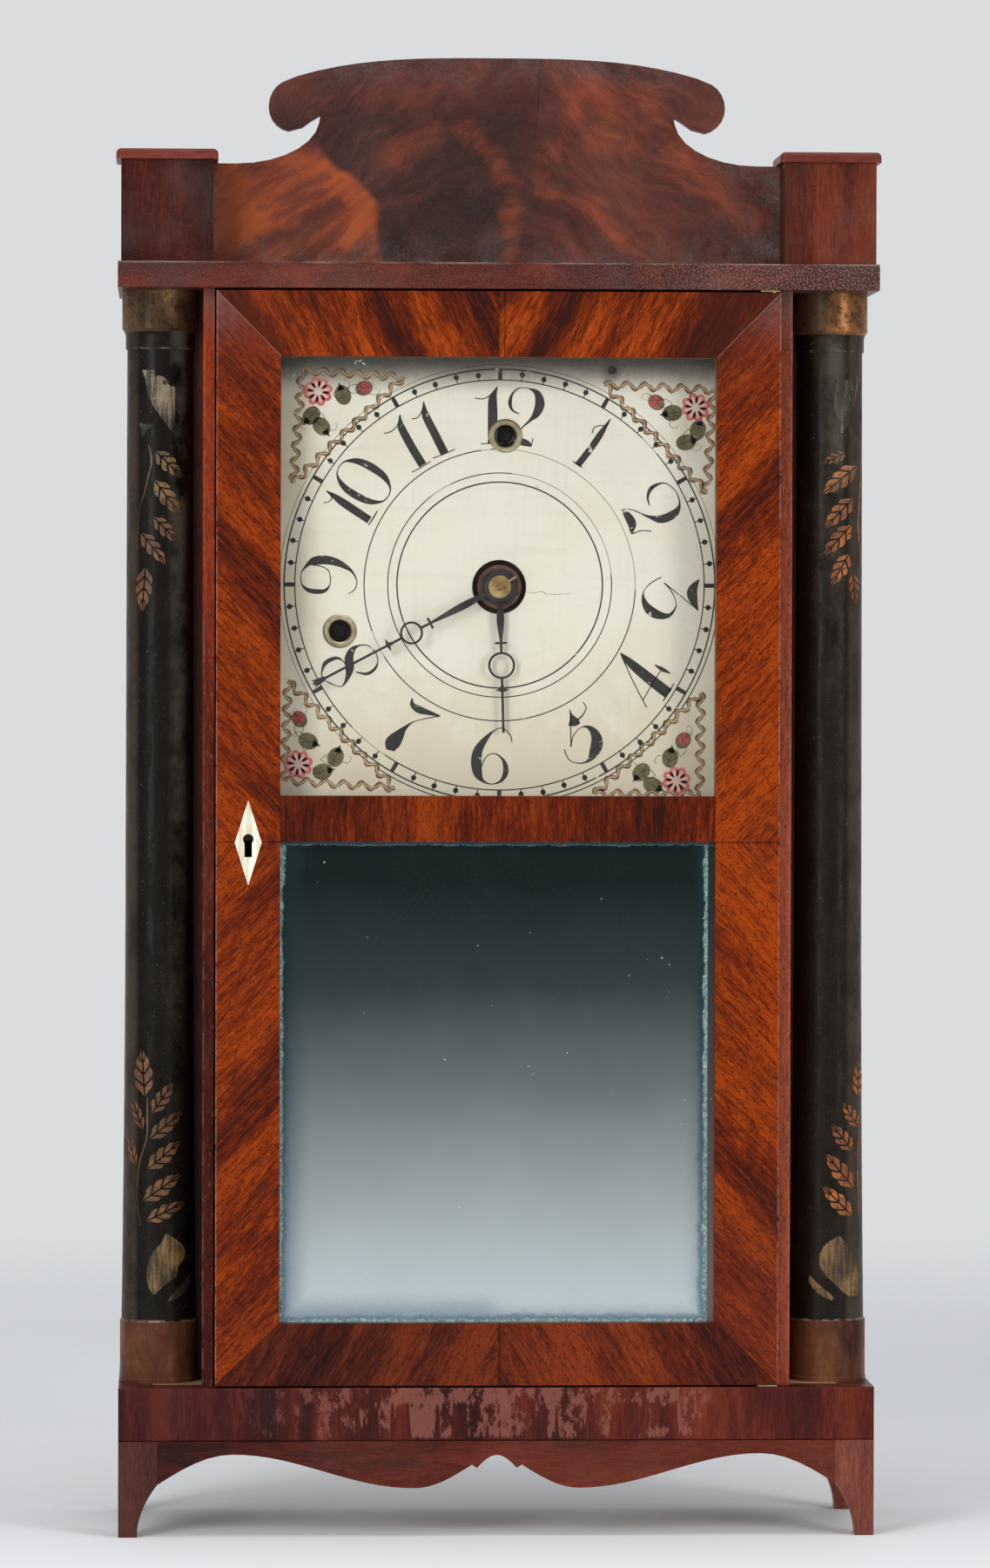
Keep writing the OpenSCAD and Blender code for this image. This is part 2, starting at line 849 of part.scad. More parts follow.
slot_left = 88;
slot_up = 38;
slot_w = 30;
slot_h = 60;
slot_right = 38;
slot_down = 88;
slit_w = 16;
slit_h = 64;
module plate_outline() {
  difference() {
    translate([plate_left, plate_low])
      square([plate_right - plate_left, plate_top - plate_low]);
    translate(centre + [-slot_left, slot_up]) square([slot_w, slot_h]);
    translate(centre + [slot_right, -slot_down]) square([slit_w, slit_h]);
  }
}

module plate_bore(at, y, r) {
  rod(at, y - 1, y + plate_t + 1, r + run_gap);
}

module front_plate() {
  color(cherry) difference() {
    between(plate_y, gap_y) plate_outline();
    for (w = winds) plate_bore(w, plate_y, wind_r);
    plate_bore(centre, plate_y, hand_arbor_r);
    for (p = [second_at, third_at, escape_at, strike_second_at, fly_at, hammer_at, minute_at])
      plate_bore(p, plate_y, pivot_r);
    rod(verge_at, plate_y - 1, plate_y + 6, verge_pin_r);
  }
}

module back_plate() {
  color(cherry) difference() {
    between(rear_y, plate_back) plate_outline();
    for (p = [time_wind, strike_wind, centre, second_at, third_at, escape_at,
              strike_second_at, fly_at, hammer_at])
      plate_bore(p, rear_y, pivot_r);
  }
}

module plate_pillars() {
  color(cherry) for (p = pillars) rod(p, gap_y, rear_y, pillar_r);
}

// ---- Wheels ----
// Teeth are wedges: root is wide, tip is narrow, and both are shares of a pitch
function tooth_points(n, m, phase, root, tip) = [
  for (k = [0:n - 1], c = [[-root, -1.15], [-tip, 0.85], [tip, 0.85], [root, -1.15]])
    let (a = phase + (k + c[0]) * 360 / n, r = pitch_r(n, m) + c[1] * m)
    [r * cos(a), r * sin(a)]
];

module wheel_teeth(at, n, m, phase, y0, y1) {
  between(y0, y1) translate(at) polygon(tooth_points(n, m, phase, 0.23, 0.1));
}

module pinion_teeth(at, n, m, phase, y0, y1) {
  between(y0, y1) translate(at) polygon(tooth_points(n, m, phase, 0.17, 0.09));
}

// How far a pinion reaches past the wheel that it meshes with
pinion_lap = 2;
shake = 0.4;
pivot_len = 6;
// An arbor that runs in both plates
module arbor(at, r) {
  rod(at, gap_y + shake, rear_y - shake, r);
  rod(at, gap_y - pivot_len, rear_y + pivot_len, pivot_r);
}

winding_n = 5;
// A flanged drum with its band of wound cord, on an arbor that ends in a square
module drum(at) {
  rod(at, gap_y + drum_low, gap_y + drum_high, drum_r);
  rod(at, gap_y + drum_low + 1, gap_y + drum_low + 1 + 2 * cord_r * winding_n, winding_r);
  for (y = [drum_low - flange_t, drum_high])
    rod(at, gap_y + y, gap_y + y + flange_t, winding_r + 2);
  rod(at, plate_y - 4, rear_y - shake, wind_r);
  rod(at, rear_y - 2, rear_y + pivot_len, pivot_r);
  side = wind_r * 1.38;
  between(dial_back + 2, plate_y - 2) translate(at) square(side, center = true);
}

module time_drum() {
  color(cherry) drum(time_wind);
}

module strike_drum() {
  color(cherry) drum(strike_wind);
}

module great_wheel(at) {
  difference() {
    wheel_teeth(at, great_n, great_m, 0, gap_y + great_low, gap_y + great_high);
    rod(at, gap_y + great_low - 1, gap_y + great_high + 1, wind_r + run_gap);
  }
}

module time_great_wheel() {
  color(cherry) great_wheel(time_wind);
}

module strike_great_wheel() {
  color(cherry) great_wheel(strike_wind);
}

module second_wheel() {
  phase = mesh_phase(0, great_n, second_pn, heading(time_wind, second_at));
  color(cherry) {
    arbor(second_at, 3);
    wheel_teeth(second_at, second_n, great_m, 0, gap_y + second_low, gap_y + second_high);
    pinion_teeth(second_at, second_pn, great_m, phase,
      gap_y + great_low - pinion_lap, gap_y + great_high + pinion_lap);
  }
}

arbor_reach = 40;
arbor_end = plate_y - arbor_reach;
module center_wheel() {
  phase = mesh_phase(0, second_n, center_pn, heading(second_at, centre));
  color(cherry) {
    rod(centre, gap_y + shake, rear_y - shake, hand_arbor_r + 0.5);
    rod(centre, rear_y - 2, rear_y + pivot_len, pivot_r);
    rod(centre, arbor_end, gap_y + 2, hand_arbor_r);
    pinion_teeth(centre, center_pn, great_m, phase,
      gap_y + second_low - pinion_lap, gap_y + second_high + pinion_lap);
    wheel_teeth(centre, center_n, center_m, 0, gap_y + center_low, gap_y + center_high);
    pinion_teeth(centre, cannon_n, motion_m, 0, plate_y - motion_high, plate_y - motion_low);
  }
}

module third_wheel() {
  phase = mesh_phase(0, center_n, third_pn, heading(centre, third_at));
  color(cherry) {
    arbor(third_at, 1.8);
    pinion_teeth(third_at, third_pn, center_m, phase,
      gap_y + center_low - pinion_lap, gap_y + center_high + pinion_lap);
    wheel_teeth(third_at, third_n, third_m, 0, gap_y + third_low, gap_y + third_high);
  }
}

module escape_wheel() {
  phase = mesh_phase(0, third_n, escape_pn, heading(third_at, escape_at));
  tooth_deep = 3;
  color(cherry) {
    rod(escape_at, plate_y - escape_high - 2, rear_y + pivot_len, pivot_r);
    rod(escape_at, plate_y - escape_high - 1, plate_y - escape_low + 1, 4);
    pinion_teeth(escape_at, escape_pn, third_m, phase,
      gap_y + third_low - pinion_lap, gap_y + third_high + pinion_lap);
    between(plate_y - escape_high, plate_y - escape_low) translate(escape_at)
      polygon([
        for (k = [0:escape_n - 1], c = [[0, tooth_deep], [0.18, 0], [0.3, 0], [0.75, tooth_deep]])
          let (a = (k + c[0]) * 360 / escape_n, r = escape_r - c[1])
          [r * cos(a), r * sin(a)]]);
  }
}

// ---- Escapement and pendulum ----
verge_pin_r = 1.2;
pallet_gap = 1.6;
rod_y = plate_y - rod_off;
rod_r = 1.1;
crutch_len = 30;

module suspension_pin() {
  color(iron) {
    rod(verge_at, rod_y - 4, plate_y + 5, verge_pin_r);
    rod(verge_at, rod_y - 5, rod_y - 4, verge_pin_r + 1.3);
  }
}

module verge() {
  a = 36.4;
  tip = (escape_r + pallet_gap) * [sin(a), cos(a)] - [0, escape_r * verge_share];
  fork_y = rod_y - 2;
  hub_front = plate_y - verge_high - 3;
  color(iron) difference() {
    union() {
      rod(verge_at, hub_front, plate_y - verge_low, 3.5);
      between(plate_y - verge_high + 1.5, plate_y - verge_low) translate(verge_at)
        for (s = [-1, 1]) scale([s, 1])
          polygon([
            [0, 3], [tip[0] + 3, 0.5], [tip[0] + 3.5, tip[1] + 1], [tip[0] + 0.6, tip[1] + 0.2],
            [tip[0] + 0.4, -1.8], [0, -1.5]]);
      translate([verge_at[0], 0, verge_at[1]]) {
        block(-1, 1, hub_front, hub_front + 2, -crutch_len, 0);
        for (s = [-1, 1])
          block(s * (rod_r + 1) - 0.5, s * (rod_r + 1) + 0.5, fork_y, hub_front,
            -crutch_len, -crutch_len + 3);
        block(-rod_r - 1.5, rod_r + 1.5, hub_front, hub_front + 2, -crutch_len, -crutch_len + 3);
      }
    }
    rod(verge_at, hub_front - 1, plate_y, verge_pin_r + run_gap);
  }
}

rod_top = verge_at[1];
bob_z = rod_top - pendulum_len;
nut_h = 4;
module pendulum_rod() {
  color(brass) {
    difference() {
      rod(verge_at, rod_y - 1.5, rod_y + 1.5, 3);
      rod(verge_at, rod_y - 3, rod_y + 3, verge_pin_r + run_gap);
    }
    translate([verge_at[0], rod_y, bob_z - bob_r - nut_h])
      cylinder(h = rod_top - 2 - (bob_z - bob_r - nut_h), r = rod_r, $fn = 24);
    translate([verge_at[0], rod_y, bob_z - bob_r - nut_h])
      cylinder(h = nut_h - 0.2, r = 3.2, $fn = 6);
  }
}

module pendulum_bob() {
  thick = 13;
  color(brass) difference() {
    translate([verge_at[0], rod_y, bob_z]) rotate([90, 0, 0])
      rotate_extrude($fn = 64)
        polygon(concat(
          [for (i = [0:10]) let (a = 90 - 9 * i)
            [bob_r * cos(a), 1 + (thick / 2 - 1) * sin(a)]],
          [for (i = [0:10]) let (a = 9 * i)
            [bob_r * cos(a), -1 - (thick / 2 - 1) * sin(a)]]));
    translate([verge_at[0], rod_y, bob_z - bob_r - 1])
      cylinder(h = 2 * bob_r + 2, r = rod_r + run_gap, $fn = 24);
  }
}

// ---- Motion work and hands ----
pipe_wall = 2.2;
module minute_wheel() {
  phase = mesh_phase(0, cannon_n, minute_n, motion_dir);
  color(cherry) {
    wheel_teeth(minute_at, minute_n, motion_m, phase, plate_y - motion_high, plate_y - motion_low);
    pinion_teeth(minute_at, minute_pn, hour_m, 0, plate_y - hour_high - 0.5, plate_y - motion_high);
    rod(minute_at, plate_y - motion_low - 1, gap_y - 1, pivot_r);
  }
}

hour_off = 33;
minute_off = 37;
hour_y = plate_y - hour_off;
minute_y = plate_y - minute_off;
flange_r = 12.9;
flange_in = 3;
module hour_wheel() {
  phase = mesh_phase(0, minute_pn, hour_n, heading(minute_at, centre));
  color(cherry) difference() {
    union() {
      wheel_teeth(centre, hour_n, hour_m, phase, plate_y - hour_high, plate_y - hour_low);
      rod(centre, hour_y - 1, plate_y - hour_low, hand_arbor_r + pipe_wall);
      // flange in the dial's hole that the hour hand sits against
      rod(centre, hour_y + hand_t, dial_y + flange_in, flange_r);
    }
    rod(centre, hour_y - 2, plate_y, hand_arbor_r + run_gap);
  }
}

// A pierced hand: leaf blade, cross bar, ring, cross bar and stem
module hand_outline(len, hub_r, blade, bar1, ring_at, ring_out, bar2, stem) {
  circle(hub_r, $fn = 48);
  leaf = bar1 - hub_r + 2;
  polygon(concat(
    [for (i = [0:12]) let (t = i / 12)
      [-stem / 2 - (blade - stem) / 2 * pow(sin(180 * pow(t, 0.8)), 1.4), hub_r - 2 + leaf * t]],
    [for (i = [12:-1:0]) let (t = i / 12)
      [stem / 2 + (blade - stem) / 2 * pow(sin(180 * pow(t, 0.8)), 1.4), hub_r - 2 + leaf * t]]));
  translate([-3.5, bar1 - 0.7]) square([7, 1.4]);
  translate([-stem / 2, bar1 - 1]) square([stem, ring_at - ring_out + 1.6 - bar1]);
  difference() {
    translate([0, ring_at]) circle(ring_out, $fn = 48);
    translate([0, ring_at]) circle(ring_out - 1.3, $fn = 48);
  }
  translate([-stem / 2, ring_at + ring_out - 0.6])
    square([stem, len - ring_at - ring_out + 0.6]);
  polygon([
    [-4.2, bar2], [-1, bar2 + 1], [0, bar2 + 2.6], [1, bar2 + 1], [4.2, bar2],
    [1.2, bar2 - 1], [0.9, bar2 - 3], [-0.9, bar2 - 3], [-1.2, bar2 - 1]]);
}

hand_blade = 4.4;
hand_stem = 1.5;
hour_hub = 10.7;
hour_bar = 33.1;
hour_ring = 46.3;
hour_spear = 60.8;
minute_hub = 8.9;
minute_bar = 46.2;
minute_ring = 58.7;
minute_spear = 74.2;
module hour_hand() {
  color(iron) difference() {
    between(hour_y, hour_y + hand_t) translate(centre) rotate(-hour_angle)
      hand_outline(hour_len, hour_hub, hand_blade, hour_bar, hour_ring, 7.95, hour_spear, hand_stem);
    rod(centre, hour_y - 1, hour_y + hand_t + 1, hand_arbor_r + pipe_wall);
  }
}

module minute_hand() {
  color(iron) difference() {
    between(minute_y, minute_y + hand_t) translate(centre) rotate(-minute_angle) {
      hand_outline(
        minute_len, minute_hub, hand_blade, minute_bar, minute_ring, 6.8, minute_spear, hand_stem);
      polygon([
        [-2.3, minute_len], [0, minute_len - 2], [2.3, minute_len],
        [1.3, minute_len - 8], [-1.3, minute_len - 8]]);
    }
    rod(centre, minute_y - 1, minute_y + hand_t + 1, hand_arbor_r);
  }
}

module hand_washer() {
  pin_len = 15;
  color(brass) {
    difference() {
      rod(centre, minute_y - 1, minute_y, 6.6);
      rod(centre, minute_y - 2, minute_y + 1, hand_arbor_r);
    }
    // taper pin in front of the washer, held against the arbor's end
    translate([centre[0], arbor_end - 0.6, centre[1]]) rotate([0, 58, 0])
      translate([0, 0, -4]) cylinder(h = pin_len, r1 = 0.4, r2 = 0.6, $fn = 16);
  }
}

// ---- Strike train ----
module strike_second_wheel() {
  phase = mesh_phase(0, great_n, second_pn, strike_dir);
  color(cherry) {
    arbor(strike_second_at, 3);
    wheel_teeth(strike_second_at, strike_n, strike_m, 0, gap_y + strike_low, gap_y + strike_high);
    pinion_teeth(strike_second_at, second_pn, great_m, phase,
      gap_y + great_low - pinion_lap, gap_y + great_high + pinion_lap);
  }
}

module fly() {
  phase = mesh_phase(0, strike_n, fly_pn, fly_dir);
  blade = 17;
  color(cherry) {
    arbor(fly_at, 2);
    pinion_teeth(fly_at, fly_pn, strike_m, phase,
      gap_y + strike_low - pinion_lap, gap_y + strike_high + pinion_lap);
    translate([fly_at[0], 0, fly_at[1]]) rotate([0, 40, 0])
      block(-blade, blade, gap_y + blade_low, gap_y + blade_high, -1, 1);
  }
}

module hammer() {
  drop = hammer_at[1] - bell_at[1];
  head_x1 = bell_at[0] - bell_r - hammer_gap;
  head_len = 19;
  color(iron) {
    arbor(hammer_at, 2.5);
    translate([hammer_at[0], hammer_y, bell_at[1]]) cylinder(h = drop, r = 1.4, $fn = 24);
    translate([head_x1 - head_len, hammer_y, bell_at[1]]) rotate([0, 90, 0])
      cylinder(h = head_len, r = hammer_r, $fn = 48);
  }
}

module bell() {
  stud_r = 3;
  color(iron) {
    translate([bell_at[0], bell_mouth_y, bell_at[1]]) rotate([90, 0, 0])
      rotate_extrude($fn = 96)
        polygon(concat(
          [for (i = [0:12]) let (a = 7.5 * i)
            [max(bell_r * cos(a), stud_r), bell_deep * sin(a)]],
          [for (i = [12:-1:0]) let (a = 7.5 * i)
            [max((bell_r - bell_t) * cos(a), stud_r), (bell_deep - bell_t) * sin(a)]]));
    rod(bell_at, bell_mouth_y - bell_deep - 4, back_board_y, stud_r);
    rod(bell_at, bell_mouth_y - bell_deep - 4, bell_mouth_y - bell_deep, stud_r + 2.5);
  }
}

// ---- Weights, pulleys and cords ----
axle_r = 1.5;
cheek_t = 2;
cheek_half = 7;
module pulley(side) {
  at = [side * pulley_x, pulley_z];
  t = pulley_t / 2;
  color(cherry) translate([at[0], pulley_y, at[1]]) rotate([90, 0, 0])
    rotate_extrude($fn = 64)
      polygon([
        [axle_r + run_gap, -t], [pulley_rim, -t], [pulley_rim, -t + 1], [groove_r, -1.4],
        [groove_r, 1.4], [pulley_rim, t - 1], [pulley_rim, t], [axle_r + run_gap, t]]);
}

module pulley_left() {
  pulley(-1);
}

module pulley_right() {
  pulley(1);
}

module pulley_brackets() {
  y0 = pulley_t / 2 + 0.5;
  plate = 3;
  color(iron) pair() translate([pulley_x, pulley_y, 0]) {
    for (s = [-1, 1])
      block(-cheek_half, cheek_half, s * (y0 + cheek_t / 2) - cheek_t / 2,
        s * (y0 + cheek_t / 2) + cheek_t / 2, pulley_z - 5, cornice_z - plate / 2);
    block(-cheek_half - 5, cheek_half + 5, -y0 - cheek_t, y0 + cheek_t,
      cornice_z - plate, cornice_z);
    rod([0, pulley_z], -y0 - cheek_t / 2, y0 + cheek_t / 2, axle_r);
  }
}

module weight(side) {
  color(iron) translate([side * weight_x, pulley_y, weight_z]) {
    rotate_extrude($fn = 64)
      polygon([
        [0, 0], [weight_r - 1, 0], [weight_r, 1], [weight_r, weight_len - 4],
        [weight_r - 4, weight_len], [4, weight_len], [2.5, weight_len + 2],
        [2.5, weight_len + weight_neck - 3], [3.2, weight_len + weight_neck - 2],
        [3.2, weight_len + weight_neck], [0, weight_len + weight_neck]]);
  }
}

module weight_left() {
  weight(-1);
}

module weight_right() {
  weight(1);
}

// A straight or bent cord: a tube swept along a route of points
function tangent(p, i) =
  let (a = p[max(i - 1, 0)], b = p[min(i + 1, len(p) - 1)]) (b - a) / norm(b - a);
module tube(route, r) {
  n = cord_sides;
  rings = [for (i = [0:len(route) - 1])
    let (t = tangent(route, i), u = cross(t, [0, 1, 0]) / norm(cross(t, [0, 1, 0])), v = cross(t, u))
    for (k = [0:n - 1]) route[i] + r * (cos(k * 360 / n) * u + sin(k * 360 / n) * v)];
  m = len(route);
  polyhedron(
    points = rings,
    faces = concat(
      [[for (k = [0:n - 1]) k]],
      [for (i = [0:m - 2], k = [0:n - 1])
        [i * n + k, (i + 1) * n + k, (i + 1) * n + (k + 1) % n, i * n + (k + 1) % n]],
      [[for (k = [n - 1:-1:0]) (m - 1) * n + k]]));
}

// The route from the drum's winding to the pulley and down its outer side
function cord_route(drum_at, side, lane) =
  let (p = [side * pulley_x, pulley_z], rd = winding_r + cord_r + cord_air,
       rp = groove_r + cord_r + cord_air, l = norm(p - drum_at), u = (p - drum_at) / l,
       v = side * [-u[1], u[0]], s = (rd - rp) / l, w = sqrt(1 - s * s) * v + s * u,
       a0 = atan2(w[1], w[0]), a1 = side > 0 ? 0 : 180, start = drum_at + rd * w)
  concat(
    [[start[0], lane, start[1]]],
    [for (i = [0:8]) let (a = a0 + (a1 - a0) * i / 8)
      [p[0] + rp * cos(a), pulley_y, p[1] + rp * sin(a)]],
    [[side * weight_x, pulley_y, drop_high]]);
cord_lane = gap_y + drum_low + 1 + cord_r * winding_n;

module cord_runs() {
  color(pine) {
    tube(cord_route(time_wind, 1, cord_lane), cord_r);
    tube(cord_route(strike_wind, -1, cord_lane), cord_r);
  }
}

module cord_drop(side) {
  color(pine) translate([side * weight_x, pulley_y, drop_low])
    cylinder(h = drop_high - drop_low, r = cord_r, $fn = 16);
}

module cord_drop_left() {
  cord_drop(-1);
}

module cord_drop_right() {
  cord_drop(1);
}

bracket_feet();
aprons();
base_rails();
floor_board();
side_boards();
front_posts();
back_board();
cornice_board();
plinth_blocks();
plinth_caps();
splat();
half_columns();
hinge_pins();
door_stile_left();
door_stile_right();
door_rail_top();
door_rail_middle();
door_rail_bottom();
dial_glass();
mirror_plate();
glass_retainers();
escutcheon();
lock_case();
lock_bolt();
dial_board();
winding_ferrules();
dial_cleats();
movement_rails();
front_plate();
back_plate();
plate_pillars();
time_drum();
time_great_wheel();
second_wheel();
center_wheel();
third_wheel();
escape_wheel();
verge();
suspension_pin();
pendulum_rod();
pendulum_bob();
minute_wheel();
hour_wheel();
hour_hand();
minute_hand();
hand_washer();
strike_drum();
strike_great_wheel();
strike_second_wheel();
fly();
hammer();
bell();
pulley_left();
pulley_right();
pulley_brackets();
weight_left();
weight_right();
cord_runs();
cord_drop_left();
cord_drop_right();
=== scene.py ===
import bpy
import math
from mathutils import Matrix, Vector


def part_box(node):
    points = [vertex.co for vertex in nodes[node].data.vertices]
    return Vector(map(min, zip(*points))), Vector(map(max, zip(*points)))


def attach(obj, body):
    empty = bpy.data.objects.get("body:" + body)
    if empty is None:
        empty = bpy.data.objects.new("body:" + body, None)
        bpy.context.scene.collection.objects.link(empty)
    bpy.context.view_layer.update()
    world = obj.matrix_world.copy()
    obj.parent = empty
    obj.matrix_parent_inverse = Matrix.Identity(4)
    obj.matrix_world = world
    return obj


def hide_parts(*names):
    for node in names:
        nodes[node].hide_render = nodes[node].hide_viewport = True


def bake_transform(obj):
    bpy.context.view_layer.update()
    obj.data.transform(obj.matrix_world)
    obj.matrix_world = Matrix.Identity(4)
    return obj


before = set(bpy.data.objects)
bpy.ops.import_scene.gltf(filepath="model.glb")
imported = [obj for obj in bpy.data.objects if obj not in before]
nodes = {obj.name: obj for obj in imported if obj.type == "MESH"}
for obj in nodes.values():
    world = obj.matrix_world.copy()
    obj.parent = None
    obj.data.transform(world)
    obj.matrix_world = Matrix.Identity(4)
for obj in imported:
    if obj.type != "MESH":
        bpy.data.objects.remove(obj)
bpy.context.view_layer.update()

# ---- Sizes that the looks share with the solids, in metres ----
MM = 0.001
DIAL = (0.0015, 0.557)  # the dial's centre, across and up
NAIL = (66.5, 128)  # a hole in the dial, in millimetres from that centre
DIAL_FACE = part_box("dial_board")[0].y
BLOCK_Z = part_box("base_rails")[1].z
CORNICE_Z, CORNICE_TOP = (v.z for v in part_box("cornice_board"))
CORNICE_FRONT, POST_FRONT, BASE_FRONT, DOOR_FRONT, SPLAT_FRONT = (
    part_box(name)[0].y for name in ("cornice_board", "front_posts", "base_rails", "door_stile_left", "splat"))
DOOR_LEFT, DOOR_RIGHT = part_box("door_stile_left")[0].x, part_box("door_stile_right")[1].x
COLUMN_X, COLUMN_Y = 0.1985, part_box("half_columns")[1].y
# The door's openings: half their width, the dial's top, and the mirror's foot, height and top
MITRE_X, MITRE_TOP, MITRE_LOW = 0.1278, 0.6913, 0.1249
MIRROR_H, MIRROR_TOP = 0.2824, 0.4072
STRIP_X = 0.1733  # how far out the narrow strips beside the door go
CAPITAL_H, RING_H, NECK_Z = 0.0243, 0.0365, 0.6968  # the columns' gilt capital, base ring and neck
ARBOR_Y = -0.024  # the winding arbors are iron in front of this

# ---- Camera, set to the photograph's view ----
FOCAL_PIXELS, PHOTO_HEIGHT, SENSOR = 7838, 1800, 36
CAMERA_AT = (-0.19134, -4.0593, 0.51675)
PAN, TILT, ROLL = -0.04736, -0.01886, 0.00253
cam_data = bpy.data.cameras.new("camera")
cam_data.sensor_fit = "AUTO"
cam_data.sensor_width = SENSOR
cam_data.lens = FOCAL_PIXELS / PHOTO_HEIGHT * SENSOR
cam_data.clip_end = 60
cam = bpy.data.objects.new("camera", cam_data)
bpy.context.scene.collection.objects.link(cam)
cam.matrix_world = (
    Matrix.Translation(CAMERA_AT)
    @ Matrix.Rotation(PAN, 4, "Z")
    @ Matrix.Rotation(math.pi / 2 + TILT, 4, "X")
    @ Matrix.Rotation(ROLL, 4, "Z")
)
bpy.context.scene.camera = cam


# ---- Node helpers. Colours are linear red, green and blue, in thousandths. ----
def rgba(color):
    return (*(v / 1000 for v in color), 1)


class Val:
    """What a node gives out. Python's signs between two of them, or one and a number, make Math nodes."""

    def __init__(self, m, socket):
        self.m, self.socket = m, socket

    def __abs__(self):
        return self.m.math("ABSOLUTE", self)


def sign(name, op):
    setattr(Val, f"__{name}__", lambda a, b: a.m.math(op, a, b))
    setattr(Val, f"__r{name}__", lambda a, b: a.m.math(op, b, a))


sign("add", "ADD")
sign("sub", "SUBTRACT")
sign("mul", "MULTIPLY")
sign("truediv", "DIVIDE")
sign("pow", "POWER")


class Mat:
    """A node material that is built up by short calls; col is its colour so far."""

    def __init__(self, name):
        self.mat = bpy.data.materials.new(name)
        self.mat.use_nodes = True
        self.nt = self.mat.node_tree
        self.nt.nodes.clear()
        self.bsdf = self.nt.nodes.new("ShaderNodeBsdfPrincipled")
        out = self.nt.nodes.new("ShaderNodeOutputMaterial")
        self.nt.links.new(self.bsdf.outputs[0], out.inputs[0])
        coord = self.nt.nodes.new("ShaderNodeTexCoord")
        self.obj = Val(self, coord.outputs["Object"])
        split = self.nt.nodes.new("ShaderNodeSeparateXYZ")
        self.put(split, 0, self.obj)
        self.xyz = [Val(self, socket) for socket in split.outputs]
        self.col = None

    def put(self, node, key, value):
        """Links what another node gives out to an input, or sets the input's number or colour."""
        socket = node.inputs[key]
        if isinstance(value, Val):
            self.nt.links.new(value.socket, socket)
        else:
            socket.default_value = rgba(value) if socket.type == "RGBA" else value

    def node(self, kind, inputs, out=0, **settings):
        n = self.nt.nodes.new("ShaderNode" + kind)
        for key, value in settings.items():
            setattr(n, key, value)
        for key, value in inputs.items():
            self.put(n, key, value)
        return Val(self, n.outputs[out])

    def math(self, op, a, b=0, c=0, clamp=False):
        return self.node("Math", {0: a, 1: b, 2: c}, operation=op, use_clamp=clamp)

    def max(self, a, b):
        return self.math("MAXIMUM", a, b)

    def min(self, a, b):
        return self.math("MINIMUM", a, b)

    def sqrt(self, a):
        return self.math("SQRT", a)

    def join(self, x, y, z):
        return self.node("CombineXYZ", {0: x, 1: y, 2: z})

    def mapped(self, stretch=(1, 1, 1), turn=(0, 0, 0), at=(0, 0, 0), vector=None):
        return self.node("Mapping", {0: vector or self.obj, "Location": at, "Rotation": turn, "Scale": stretch})

    def noise(self, scale, detail=3, rough=0.55, distort=0, vector=None, **place):
        """place can stretch or move the pattern, as in mapped"""
        if place:
            vector = self.mapped(vector=vector, **place)
        return self.node("TexNoise", {"Vector": vector or self.obj, "Scale": scale, "Detail": detail,
                                      "Roughness": rough, "Distortion": distort})

    def cells(self, scale, feature="F1", vector=None):
        return self.node("TexVoronoi", {"Vector": vector or self.obj, "Scale": scale}, feature=feature)

    def ramp(self, fac, *stops):
        """stops: a place, its colour, the next place, its colour and so on"""
        n = self.nt.nodes.new("ShaderNodeValToRGB")
        self.put(n, 0, fac)
        marks = n.color_ramp.elements
        while len(marks) < len(stops) // 2:
            marks.new(0.5)
        for mark, place, color in zip(marks, stops[::2], stops[1::2]):
            mark.position = place
            mark.color = rgba(color)
        return Val(self, n.outputs[0])

    def step(self, fac, low, high, a=0, b=1):
        """Goes smoothly from a to b while fac goes from low to high."""
        return self.node("MapRange", {0: fac, 1: low, 2: high, 3: a, 4: b}, interpolation_type="SMOOTHSTEP")

    def fade(self, fac, low, high):
        return self.step(fac, low, high, 1, 0)

    def mix(self, fac, a, b, kind="MIX"):
        return self.node("Mix", {0: fac, 6: a, 7: b}, 2, data_type="RGBA", blend_type=kind, clamp_result=False)

    def tinted(self, color, tint):
        return self.mix(1, color, tint, "MULTIPLY")

    def sides(self, left, right, half=0.03):
        """One tint for the left of the clock and another for its right"""
        return self.ramp(self.step(self.xyz[0], -half, half), 0, left, 1, right)

    def lay(self, amount, color):
        """Lays a colour over the colour so far."""
        self.col = self.mix(amount, self.col, color)

    def tint(self, color):
        self.col = self.tinted(self.col, color)

    def bump(self, height, strength, depth):
        lift = self.node("Bump", {"Height": height, "Strength": strength, "Distance": depth})
        self.put(self.bsdf, "Normal", lift)

    def finish(self, rough, metal=0, **sockets):
        for key, value in {"Base Color": self.col, "Roughness": rough, "Metallic": metal,
                           "Specular_IOR_Level": 0.28, **sockets}.items():
            self.put(self.bsdf, key.replace("_", " "), value)
        return self.mat


